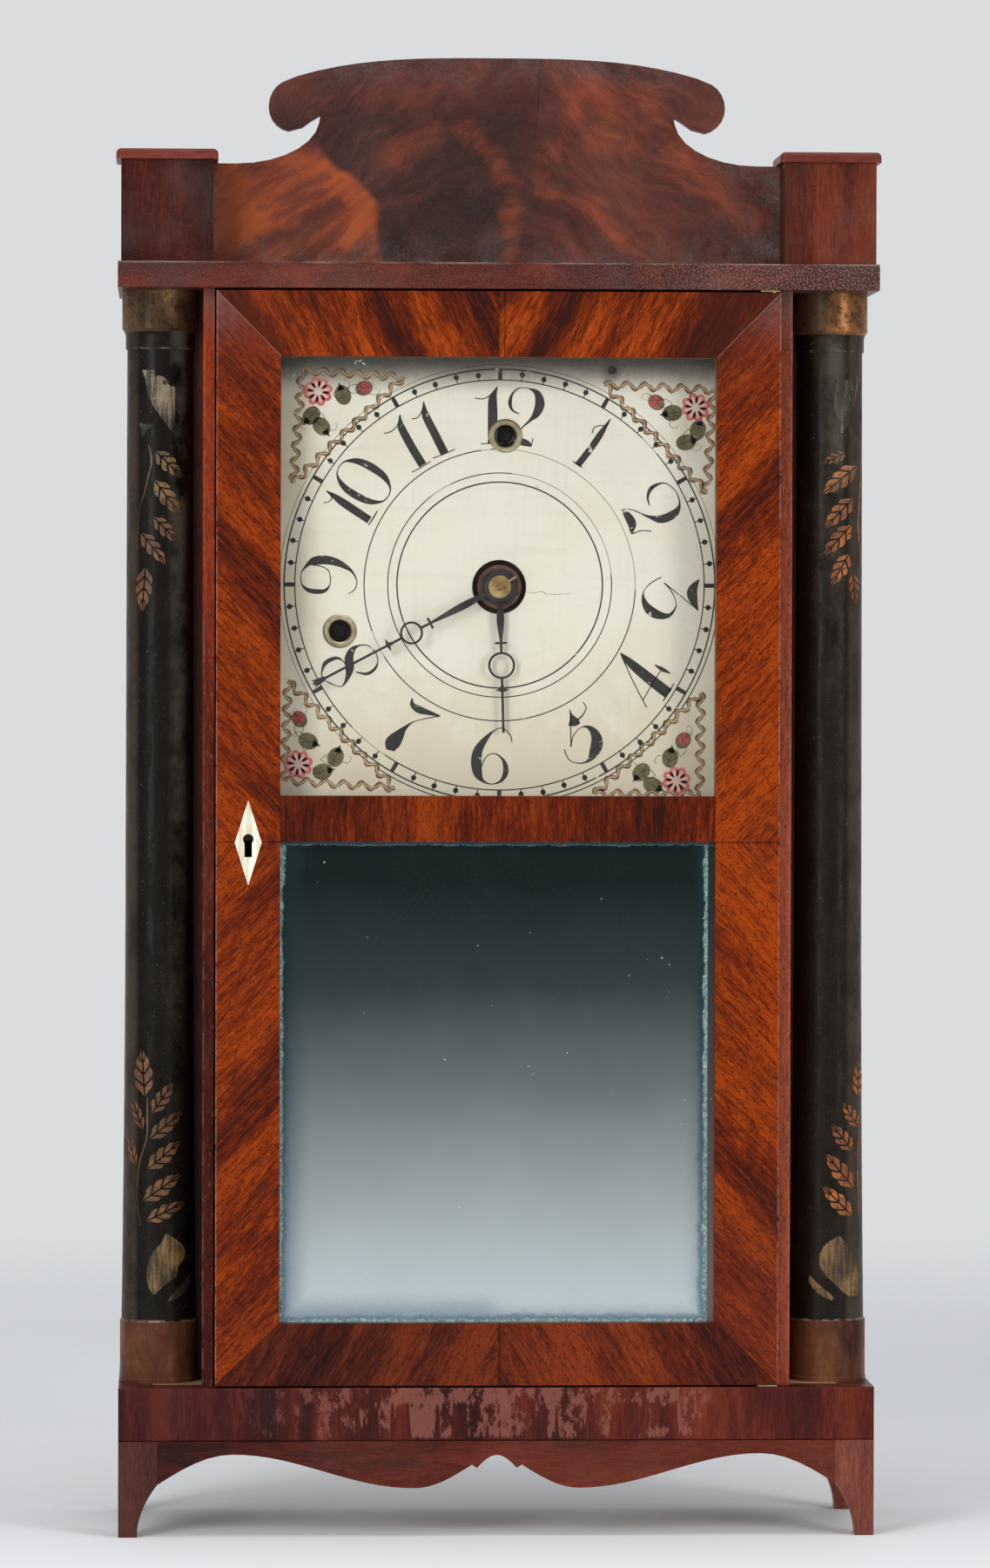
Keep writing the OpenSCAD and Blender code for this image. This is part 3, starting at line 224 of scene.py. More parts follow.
def wood(name, dark, mid, light, grain, figure=9, contrast=1, dust=0, rough=0.36, coat=0.03,
         seed=0, seams=None, extra=None, line=0.55, veneer=None):
    """Polished wood. grain gives (across, through, along) coordinates in metres from a Mat."""
    m = Mat(name)
    a, b, c = grain(m)
    aa = a + seed
    broad = m.noise(figure, 3, 0.5, 0.45, m.join(aa, b, c * 0.14))
    streak = m.noise(85, 4, 0.62, 0.3, m.join(aa, b, c * 0.1))
    fine = m.noise(640, 3, 0.65, 0, m.join(a, b, c * 0.14))
    pores = m.noise(1900, 1, 0.5, 0, m.join(a, b, c * 0.26))
    f = broad * (0.7 * contrast) + streak * (0.3 * contrast)
    f = f + (fine - 0.5) * line
    f = f - 0.5 * (contrast - 1)
    m.col = m.ramp(f, 0.34, dark, 0.5, mid, 0.67, light)
    pore = m.step(pores, 0.55, 0.68)
    m.lay(pore * (1.12 * line), tuple(v * 0.5 for v in dark))
    rough_v = rough + (fine - 0.5) * 0.25
    if extra:
        extra(m)
    if seams:
        top, *others = seams(m)
        m.lay(top * 0.5, (260, 150, 130))
        for seam in others:
            m.lay(seam * 0.75, tuple(v * 0.25 for v in dark))
    if veneer is not None:
        ground = m.ramp(m.noise(14, 3, 0.5, 0.3, stretch=(1, 1, 0.1)) * 0.7 + fine * 0.3,
                        0.36, (50, 20, 11), 0.5, (95, 40, 21), 0.66, (150, 68, 36))
        m.lay(m.step(m.xyz[1], veneer + 0.0014, veneer + 0.0018), ground)
    if dust:
        specks = m.step(m.noise(900, 2, 0.7), 0.62, 0.74)
        patch = m.step(m.noise(16, 4, 0.65), 0.45, 0.7)
        veil = (specks * 0.3 + patch * 0.13) * dust
        m.lay(veil, (190, 155, 140))
        rough_v = rough_v + veil * 0.35
    m.bump(fine * 0.6 - pore * 0.8, 0.18, 0.0004)
    return m.finish(rough_v, Specular_IOR_Level=0.07, Coat_Weight=coat, Coat_Roughness=0.15)


def along_x(m):
    return m.xyz[::-1]


def along_z(m):
    return m.xyz


def slanted(degrees, seam=None):
    """Grain that leans as it goes out from the middle, mirrored about it and about a level seam."""
    def grain(m):
        x, y, z = m.xyz
        out = abs(x)
        up = z if seam is None else abs(z - seam)
        s, c = math.sin(math.radians(degrees)), math.cos(math.radians(degrees))
        return out * s - up * c + m.math("SIGN", x) * 0.013, y, out * c + up * s
    return grain


HAIR = 0.00022
TOP_SLOPE, LOW_SLOPE = 1.016, 0.971


def frame_seams(*upright, level=None):
    """Hair lines along the door's mitres, and at upright seams or a level one"""
    def seams(m):
        x, y, z = m.xyz
        run = abs(x) - MITRE_X
        lines = [z - MITRE_TOP - run * TOP_SLOPE, z - MITRE_LOW + run * LOW_SLOPE]
        lines += [x - at for at in upright]
        if level is not None:
            lines.append(z - level)
        return [m.fade(abs(line), HAIR, HAIR * 2.2) for line in lines]
    return seams


# ---- Woods ----
def door_edge(m):
    """Old polish is whitish in the door's top corners, and worn to bare wood along its outer edges."""
    x, y, z = m.xyz
    side = m.max(x * -1 + DOOR_LEFT, x - DOOR_RIGHT)
    corner = m.step(side, -0.034, -0.002) * m.step(z, 0.69, 0.727)
    corner = corner * m.step(m.noise(260, 5, 0.8), 0.3, 0.7, 0.35, 1)
    m.lay(corner * 0.62, (150, 85, 85))
    worn = m.step(side, -0.0011, -0.0004) * m.step(m.noise(130, 4, 0.8), 0.4, 0.56)
    m.lay(worn * 0.42, (340, 200, 160))


def door_sides(m):
    """The right stile is lighter than the left one, and old polish lies in small dark patches."""
    x, y, z = m.xyz
    m.tint(m.sides((960, 900, 900), (1060, 1000, 900)))
    m.lay(m.step(m.noise(38, 5, 0.75), 0.5, 0.66) * 0.34, (45, 8, 4))
    ends = m.max(m.step(z, 0.655, 0.705), m.step(z, 0.235, 0.14) * m.step(x, -0.2, 0.1))
    m.lay(ends * 0.42, (58, 12, 9))
    door_edge(m)


def top_rail_shade(m):
    m.lay(m.step(abs(m.xyz[0]), 0.095, 0.15) * 0.46, (70, 12, 5))


def low_rail_shade(m):
    m.tint(m.sides((560, 600, 900), (840, 820, 1000), 0.06))


door_stile = wood("door_stile_veneer", (42, 5, 2), (145, 17, 1), (300, 44, 2), slanted(47, MIRROR_TOP),
                  figure=15, contrast=1.2, seams=frame_seams(level=MIRROR_TOP), extra=door_sides, line=0.68,
                  veneer=DOOR_FRONT)
door_top = wood("door_top_veneer", (32, 5, 3), (120, 14, 1), (330, 48, 3), slanted(64),
                figure=29, contrast=1.4, seed=0.334, seams=frame_seams(0.0032), extra=top_rail_shade,
                veneer=DOOR_FRONT)
door_low = wood("door_bottom_veneer", (28, 5, 3), (108, 15, 4), (250, 38, 6), slanted(-60),
                figure=18, contrast=1.15, seed=0.77, seams=frame_seams(0.0014), extra=low_rail_shade,
                veneer=DOOR_FRONT)
door_mid = wood("door_middle_veneer", (26, 4, 2), (95, 10, 1), (230, 33, 3), along_z,
                figure=20, contrast=1.3, seed=0.52, seams=frame_seams(-0.1245, -0.0837, 0.1265),
                veneer=DOOR_FRONT)
CASE = (22, 6, 5), (66, 13, 9), (135, 26, 15)


def worn_base(m):
    """Pinkish places on the base block's front where the polish has gone: combs that hang from its top edge."""
    x, y, z = m.xyz
    m.lay(m.step(x, -0.13, -0.175), m.tinted(m.col, (550, 620, 950)))
    along = m.step(x, -0.18, -0.07) * m.fade(x, 0.118, 0.13)
    along = along * m.fade(y, BASE_FRONT + 0.0006, BASE_FRONT + 0.0014)
    level = m.join(x, y, 0)
    core = m.step(x, -0.08, -0.05) * m.fade(x, 0.05, 0.075)
    deep = m.step(m.noise(60, 3, 0.6, 0, level), 0.45, 0.51)
    low = BLOCK_Z - 0.005 - deep * 0.02
    low = low - m.noise(230, 4, 0.7, 0, level) * 0.008
    hang = m.step(z - low, -0.0012, 0.0012)
    comb = m.noise(170, 6, 0.8, 0, m.join(x, y, z * 0.5))
    rub = comb + (m.noise(24, 3, 0.6, 0, level) - 0.5) * 0.55
    rub = rub + core * 0.085
    spot = along * hang * m.step(rub, 0.51, 0.56)
    m.lay(spot * 0.72, (215, 74, 56))


# Flames of the splat's veneer, as lines through (across, up) in millimetres, each with its width and strength
FLAMES = [
    ([(9, 781), (25, 794), (37, 818), (46, 845), (56, 853)], 11, 0.58),
    ([(56, 853), (82, 846), (106, 818), (128, 792), (150, 776)], 17, 0.85),
    ([(33, 785), (55, 780), (76, 762), (90, 751)], 11, 0.85),
    ([(62, 838), (84, 822), (104, 800)], 13, 0.32),
    ([(56, 824), (76, 814)], 12, 0.55),
    ([(-18, 825), (-3, 812), (6, 796), (9, 778), (7, 752)], 10, 0.55),
    ([(-62, 812), (-35, 826), (-14, 826)], 12, 0.4),
    ([(31, 752), (52, 750)], 12, 0.45),
    ([(-96, 842), (-70, 850), (-40, 846)], 12, 0.2),
]
STREAKS = [([(-140, 760), (-112, 770), (-92, 782)], 7, 0.85), ([(-140, 781), (-116, 790), (-100, 800)], 4, 0.5),
           ([(-118, 751), (-84, 752)], 5, 0.5)]


def near(m, x, z, path):
    """Distance in metres from (x, z) to a line through points in millimetres."""
    least = None
    for (ax, az), (bx, bz) in zip(path, path[1:]):
        dx, dz = (bx - ax) * MM, (bz - az) * MM
        px, pz = x - ax * MM, z - az * MM
        k = dx * dx + dz * dz
        t = m.math("MULTIPLY_ADD", px, dx / k, pz * (dz / k), clamp=True)
        qx, qz = m.math("MULTIPLY_ADD", t, -dx, px), m.math("MULTIPLY_ADD", t, -dz, pz)
        d = m.sqrt(m.math("MULTIPLY_ADD", qx, qx, qz * qz))
        least = d if least is None else m.min(least, d)
    return least


def crotch(m):
    """Flame figure of the splat's veneer: a bright field at the left, a dark heart, and flames that rise
    and spread from the foot at the right of the middle."""
    x, y, z = m.xyz
    dx = x - 0.011
    out = m.sqrt(dx * dx + 0.012 ** 2)
    bend = (m.noise(13, 3, 0.55, at=(0.2, 0, 0.9)) - 0.5) * 0.06
    across = out * 0.66 + z * 0.75 + bend
    along = out * 0.75 - z * 0.66
    flame = m.noise(34, 5, 0.6, 0.6, m.join(across + dx * 0.12, y, along * 0.42))
    fur = m.noise(260, 4, 0.65, 0.3, m.join(across, y, along * 0.2))
    grit = m.noise(1100, 3, 0.75)
    wx = x + (m.noise(38, 4, 0.6, at=(5, 0, 0)) - 0.5) * 0.022
    wz = z + (m.noise(38, 4, 0.6, at=(0, 0, 7)) - 0.5) * 0.022
    tone = flame * 0.6 + fur * 0.4
    dark = m.ramp(tone, 0.38, (22, 10, 9), 0.52, (40, 15, 12), 0.64, (78, 24, 17))
    warm = m.ramp(tone, 0.38, (44, 15, 11), 0.52, (90, 25, 17), 0.64, (145, 36, 22))
    side = m.max(m.step(x + bend * 0.6, 0, 0.055), m.step(z, 0.826, 0.85, 0, 0.55))
    m.col = m.mix(side, dark, warm)
    red = m.ramp(tone + (grit - 0.5) * 0.25,
                 0.34, (75, 18, 11), 0.5, (170, 36, 17), 0.62, (270, 56, 24))
    broken = m.step(tone, 0.38, 0.54, 0.45, 1)
    for path, width, strength in FLAMES:
        glow = m.fade(near(m, wx, wz, path), 0, width * MM)
        m.lay(glow * strength * broken, red)
    heart = m.sqrt(((wx - 0.017) * 1.5) ** 2 + (wz - 0.791) ** 2)
    m.lay(m.step(heart, 0.012, 0.004) * 0.65, (24, 12, 12))
    high = m.max(z - 0.782, 0)
    edge = x + 0.067 + high * 0.95
    edge = edge + (m.noise(22, 2, 0.5, at=(0.7, 0, 0)) - 0.5) * 0.03
    left = m.fade(edge, -0.007, 0.001)
    leaning = m.mapped(turn=(0, 0.62, 0))
    field = m.noise(34, 4, 0.6, 0.6, leaning, stretch=(0.42, 1, 1.4))
    hair = m.noise(300, 4, 0.65, 0, leaning, stretch=(0.14, 1, 1))
    field = field + (grit + hair - 1) * 0.38
    bright = m.ramp(field, 0.34, (70, 18, 11), 0.5, (200, 40, 16), 0.64, (420, 85, 18))
    rim = m.fade(near(m, wx, wz, [(-126, 812), (-88, 795), (-69, 771)]), 0, 0.012)
    bright = m.mix(rim * 0.6, bright, (360, 74, 21))
    for path, width, strength in STREAKS:
        glow = m.fade(near(m, wx, wz, path), 0, width * MM)
        bright = m.mix(glow * strength, bright, (62, 18, 13))
    glow = m.fade(near(m, wx, wz, [(-160, 768), (-153, 792)]), 0, 0.015)
    bright = m.mix(glow * 0.85, bright, (380, 78, 22))
    bright = m.mix(m.step(edge, -0.05, -0.012) * 0.3, m.mix(0.35, bright, (100, 24, 14)), bright)
    low_left = m.step(z, 0.826, 0.806)
    m.lay(left * low_left * 0.94, bright)
    crack = abs(x + z * -0.06 - -0.0265)
    line = m.fade(crack, 0.0001, 0.0004) * m.step(z, 0.822, 0.834)
    m.lay(line * 0.7, (8, 4, 4))
    m.lay(m.step(grit, 0.56, 0.68, 0, 0.2), (190, 130, 110))
    film = m.step(z, 0.775, 0.742) * 0.26 + m.step(x, 0.115, 0.16) * 0.26
    film = film + m.step(z, 0.846, 0.866) * 0.22
    nook = m.max(m.step(z, CORNICE_TOP + 0.005, CORNICE_TOP), m.step(abs(x), 0.157, 0.168))
    film = film + nook * 0.34
    film = (film + 0.06) * m.step(m.noise(55, 5, 0.75), 0.3, 0.75)
    film = film * m.step(m.noise(520, 4, 0.8), 0.36, 0.66, 0.45, 1.7)
    m.lay(film, (160, 135, 125))


def shaded_left_lit_right(left, right):
    """Painted light and shade: the left piece is painted darker than the right one."""
    return lambda m: m.tint(m.sides(left, right))


def jamb(m):
    """The narrow strips beside the door get painted light (far brighter on the right, and brighter towards the
    top on the left) and are worn; the boards behind the columns get painted shade.
    """
    x, y, z = m.xyz
    out = abs(x)
    strip = m.fade(out, STRIP_X - 0.0002, STRIP_X + 0.0002)
    # Painted light: the strips are made brighter, the right one far more than the left, the left one more
    # towards the top.
    lit = m.tinted(m.col, m.sides((1250, 1150, 1200), (2700, 2600, 2300)))
    left = m.tinted(lit, m.ramp(z, 0.32, (800, 500, 400), 0.6, (3000, 1900, 700)))
    lit = m.mix(m.fade(x, -0.03, 0.03), lit, left)
    lit = m.mix(m.step(z, 0.695, 0.728, 0, 0.6), lit, (150, 90, 85))
    lit = m.mix(m.step(m.noise(700, 3, 0.7, stretch=(1, 1, 0.35)), 0.6, 0.7) * 0.35, lit, (300, 240, 210))
    rub = m.step(out, 0.1719, 0.1727) * m.step(m.noise(90, 4, 0.7), 0.4, 0.6)
    rub = rub * m.fade(y, POST_FRONT + 0.0004, POST_FRONT + 0.001)
    lit = m.mix(rub * 0.45, lit, (340, 140, 90))
    # Painted shade: the boards behind the columns are darkened.
    m.col = m.mix(strip, m.tinted(m.col, (620, 700, 750)), lit)


def worn_cornice(m):
    x, y, z = m.xyz
    patch = m.noise(26, 5, 0.7, 0.4, stretch=(0.6, 1, 1), at=(0.35, 0, 0))
    m.lay(m.step(patch, 0.52, 0.66, 0, 0.55), (185, 36, 18))
    m.lay(m.step(patch, 0.46, 0.36, 0, 0.45), (60, 30, 30))
    speck = m.step(m.noise(1000, 3, 0.8), 0.51, 0.59) * m.step(x, 0.02, 0.17, 0.12, 0.6)
    m.lay(speck, (300, 230, 210))
    rub = m.step(m.noise(60, 4, 0.7, stretch=(0.3, 1, 1)), 0.4, 0.62)
    edge = m.step(z, CORNICE_TOP - 0.0016, CORNICE_TOP - 0.0004)
    edge = edge * m.fade(y, CORNICE_FRONT + 0.0006, CORNICE_FRONT + 0.0012)
    m.lay(edge * rub * 0.6, (270, 190, 150))


case_x = wood("case_mahogany_level", *CASE, along_x, figure=12, dust=0.6, extra=worn_cornice, line=0.32)
cap_wood = wood("cap_mahogany", (60, 13, 9), (165, 34, 21), (250, 60, 36), along_x, dust=0.5, line=0.3)
side_wood = wood("side_mahogany", *CASE, along_z, dust=0.45)
plinth_wood = wood("plinth_mahogany", *CASE[:2], (170, 33, 16), along_z, figure=17, contrast=1.15,
                   dust=0.8, line=0.28, extra=shaded_left_lit_right((640, 520, 460), (1120, 1060, 900)))
foot_wood = wood("foot_mahogany", CASE[0], (88, 19, 13), (160, 36, 24), along_z, figure=15,
                 dust=0.35, line=0.32, extra=shaded_left_lit_right((660, 950, 1050), (1750, 2250, 2300)))
apron_wood = wood("apron_mahogany", CASE[0], (92, 16, 9), (165, 31, 15), along_x, figure=14,
                  contrast=1.25, dust=0.35, line=0.3)
base_wood = wood("base_mahogany", CASE[0], (68, 10, 7), (155, 26, 12), along_z, figure=24,
                 contrast=1.5, dust=0.15, extra=worn_base, line=0.26)
post_wood = wood("post_mahogany", (30, 8, 6), (85, 18, 11), (150, 32, 16), along_z, figure=8, dust=0.3,
                 extra=jamb)
splat_wood = wood("splat_crotch_mahogany", *CASE, along_x, dust=0.3, rough=0.42, extra=crotch,
                  veneer=SPLAT_FRONT)
PINE = (190, 110, 55), (300, 190, 100), (420, 280, 150)
pine = wood("aged_pine", *PINE, along_z, figure=16, rough=0.7, coat=0, dust=0.4)
pine_x = wood("aged_pine_level", *PINE, along_x, figure=16, rough=0.7, coat=0, dust=0.4)
oak = wood("plate_oak", (170, 85, 36), (300, 160, 70), (420, 250, 120), along_z, figure=18,
           rough=0.55, coat=0.05)


def arbor_iron(m):
    """The winding arbors' front ends are dark iron; the rest is wood."""
    m.lay(m.fade(m.xyz[1], ARBOR_Y - 0.0005, ARBOR_Y + 0.0005), (18, 16, 15))


CHERRY = (140, 50, 20), (270, 110, 45), (400, 180, 80)
cherry = wood("wheel_cherry", *CHERRY, along_x, figure=26, rough=0.5, coat=0.06)
drum_wood = wood("drum_cherry", *CHERRY, along_x, figure=26, rough=0.5, coat=0.06, extra=arbor_iron)


# ---- Column paint, by height ----
def column_paint():
    m = Mat("column_paint")
    x, y, z = m.xyz
    soft = m.noise(40, 4, 0.65)
    streak = m.noise(60, 3, 0.6, stretch=(1, 1, 0.06))
    dust = m.step(m.noise(1100, 2, 0.7), 0.66, 0.76)
    black = m.ramp(soft * 0.5 + streak * 0.5,
                   0.3, (4, 3, 2), 0.55, (9, 7, 5), 0.75, (28, 21, 14))
    black = m.mix(dust * 0.22, black, (200, 180, 140))
    scuff = m.step(m.noise(48, 5, 0.8, at=(3.1, 0, 0.4)), 0.72, 0.76) * m.step(x, 0.17, 0.19)
    black = m.mix(scuff * 0.8, black, (450, 430, 380))
    right = m.step(x, -0.05, 0.05)
    # Painted light: the right column's black is painted lighter than the left one's.
    black = m.tinted(black, m.ramp(right, 0, (900, 900, 900), 1, (1500, 1400, 1350)))
    # Painted sheen: a soft lighter upright band right of each column's middle, fading out lower down.
    centre = right * 0.387 + -0.187
    fall = z - right * 0.23
    painted_sheen = m.fade(abs(x - centre), 0.001, 0.0075)
    painted_sheen = painted_sheen * m.step(fall, 0.18, 0.58) * m.step(soft, 0.34, 0.66)
    black = m.mix(painted_sheen * 0.4, black, (170, 155, 125))
    # Painted reflection: a brownish lighter strip along each column's outer side.
    outer = abs(x) - COLUMN_X
    edge = m.step(outer + right * 0.003, 0.0112, 0.0152)
    black = m.mix(edge * m.step(soft, 0.3, 0.6, 0.4, 1) * 0.5, black, (85, 62, 45))
    rub = m.noise(30, 4, 0.7, 0.6)
    # Painted light: the gold is made a little brighter towards the right.
    rub = rub + m.step(x, 0, 0.19) * 0.05
    gold = m.ramp(rub, 0.34, (35, 19, 10), 0.5, (120, 58, 22), 0.68, (340, 170, 60))
    chips = m.step(m.noise(420, 4, 0.7), 0.54, 0.62)
    # Painted light: the right capital's gold is painted brighter than the left one's.
    gold = m.tinted(gold, m.ramp(right, 0, (950, 1080, 1350), 1, (2000, 1800, 1700)))
    # Painted highlight and shade: the gold is bright only on a band towards the right of each capital and
    # painted dark elsewhere; these places are also made metallic.
    lit_gold_right = m.step(outer, -0.006, 0.007)
    lit_gold_left = m.step(abs(outer + 0.006), 0.004, 0.013, 1, 0.35)
    lit_gold = right * lit_gold_right + (1 - right) * lit_gold_left
    gold = m.mix(0.12 + lit_gold * 0.88, (30, 18, 12), gold)
    gold = m.mix(chips * 0.7, gold, (18, 12, 9))
    brown = m.ramp(m.noise(34, 5, 0.65, 0.4, stretch=(1, 1, 0.35)),
                   0.36, (35, 12, 8), 0.52, (105, 38, 18), 0.68, (190, 80, 34))
    cap_z, ring_z = CORNICE_Z - CAPITAL_H, BLOCK_Z + RING_H
    cap = m.step(z, cap_z - 0.0005, cap_z + 0.0005)
    foot = m.fade(z, ring_z - 0.0003, ring_z + 0.0003)
    m.col = m.mix(cap, m.mix(foot, black, brown), gold)
    worn = m.step(m.noise(120, 4, 0.7), 0.4, 0.6)
    # Partly painted highlight, partly wear: thin light lines along the neck's lower edge and the base ring's
    # top edge, broken up by noise.
    for at, far, tint in ((NECK_Z, 0.75, (150, 130, 100)), (ring_z + 0.0001, 0.8, (260, 190, 140))):
        lip_highlight = m.fade(abs(z - at), 0.0003, 0.0009)
        m.lay(lip_highlight * worn * far, tint)
    m.bump(dust * 0.5 + m.noise(260, 4, 0.6), 0.22, 0.0004)
    metal = cap * lit_gold * (1 - chips) * 0.5
    specks = m.step(m.noise(430, 4, 0.8, at=(1.3, 0, 0)), 0.63, 0.7)
    m.lay(specks * 0.22, (360, 330, 280))
    broken = m.noise(150, 5, 0.7, stretch=(1, 1, 0.3))
    gloss = soft * 0.16 + m.step(broken, 0.42, 0.66) * 0.3
    return m.finish(0.2 + gloss, metal, Specular_IOR_Level=0.07)


# ---- Metals, glass, bone ----
def metal(name, low, high, rough, metallic, spots, spot_color=(90, 35, 15)):
    """Dull metal with rust or tarnish in spots"""
    m = Mat(name)
    n = m.noise(90, 5, 0.65)
    m.col = m.ramp(n, 0.35, low, 0.65, high)
    rust = m.step(m.noise(150, 5, 0.7), spots, spots + 0.08)
    m.lay(rust, spot_color)
    m.bump(n + m.noise(900, 2, 0.6) * 0.4, 0.18, 0.0003)
    return m.finish(rough + (n - 0.5) * 0.35, metallic - rust * (metallic * 0.9))


iron = metal("dark_iron", (16, 15, 15), (50, 46, 45), 0.48, 0.55, 0.6)
hand_iron = metal("hand_iron", (28, 23, 22), (60, 50, 48), 0.42, 0.6, 0.66, (60, 30, 18))
cast = metal("cast_weight", (30, 26, 24), (85, 70, 60), 0.62, 0.5, 0.54)
ferrule_brass = metal("ferrule_brass", (300, 240, 140), (560, 480, 320), 0.34, 0.85, 0.62, (120, 90, 50))
brass = metal("aged_brass", (300, 200, 75), (620, 470, 200), 0.3, 1, 0.64, (140, 90, 35))


def bone_paint():
    m = Mat("bone")
    lines = m.noise(300, 3, 0.6, stretch=(1, 1, 0.12))
    m.col = m.ramp(lines, 0.35, (620, 550, 380), 0.55, (860, 820, 680), 0.75, (930, 900, 800))
    m.bump(lines, 0.1, 0.0002)
    return m.finish(0.28 + lines * 0.15)


def pane():
    m = Mat("old_glass")
    wave = m.noise(14, 2, 0.5, 0.6)
    m.bump(wave, 0.12, 0.002)
    specks = m.step(m.noise(700, 2, 0.6), 0.72, 0.8)
    veil = m.step(m.xyz[2], 0.672, 0.69) * m.step(m.noise(380, 4, 0.7), 0.5, 0.75)
    m.put(m.bsdf, "Alpha", 0.022 + m.max(specks * 0.5, veil) * 0.22)
    m.col = m.ramp(wave, 0.3, (100, 120, 110), 0.7, (160, 180, 160))
    return m.finish(0.04 + specks * 0.3)


def silvering():
    """Old mirror with a painted reflection, pale at the foot and dark at the top; the silver has gone along the
    edges.
    """
    m = Mat("decayed_mirror")
    x, y, z = m.xyz
    up = (z - MITRE_LOW) / MIRROR_H
    cloud = m.noise(13, 4, 0.6, 0.4)
    # Painted reflection: pale at the mirror's foot, darkening to nearly black at its top.
    lift = up + (cloud - 0.5) * 0.1
    m.col = m.ramp(lift, 0.03, (500, 570, 580), 0.16, (420, 475, 485), 0.34, (260, 295, 300),
                   0.5, (135, 158, 162), 0.7, (30, 42, 44), 0.92, (4, 10, 10))
    side = MITRE_X - abs(x)
    foot = z - MITRE_LOW
    head = MIRROR_TOP - z
    right = m.step(x, -0.01, 0.01)
    side = side - right * 0.0046
    corner = m.step(z, 0.374, 0.398) * m.step(x, -0.1, -0.12)
    side = side - corner * 0.0016
    edge = m.min(side, foot)
    rag = m.noise(150, 6, 0.8)
    inner = edge - rag * 0.0068
    crust = m.fade(inner, -0.0024, -0.001)
    broad = inner + right * 0.0058
    haze = m.fade(broad, -0.001, 0.016) * 0.55
    haze = m.max(haze, m.fade(inner, -0.001, 0.004) * 0.78)
    blue = m.ramp(up, 0, (60, 130, 220), 0.25, (35, 85, 130), 0.7, (10, 30, 34))
    m.lay(haze, blue)
    teal = m.ramp(m.noise(620, 4, 0.75), 0.36, (60, 150, 150), 0.54, (260, 390, 380), 0.66, (500, 600, 540))
    m.lay(crust, teal)
    strip = right * m.fade(side + rag * 0.0008, -0.0006, -0.0001)
    m.lay(strip, m.ramp(up, 0, (200, 140, 135), 0.5, (70, 52, 52), 0.9, (14, 16, 18)))
    film = m.step(m.noise(1300, 2, 0.7), 0.52, 0.7) * m.step(m.noise(26, 4, 0.7), 0.4, 0.7)
    m.lay(film * 0.035, (500, 620, 600))
    brow = m.fade(head - rag * 0.0044, -0.0002, 0.0003)
    m.lay(brow * 0.45, teal)
    top = m.fade(head - rag * 0.002, 0, 0.0016)
    m.lay(top * 0.8, (10, 35, 70))
    specks = m.fade(m.cells(95), 0.045, 0.075)
    some = m.step(m.noise(19, 2, 0.5), 0.5, 0.58)
    dots = specks * some
    m.lay(dots * 0.55, (330, 450, 470))
    gone = m.max(crust, dots)
    m.bump(crust * rag + cloud * 0.02, 0.1, 0.0003)
    return m.finish(0.16 + gone * 0.4, 0.5 - gone * 0.45)


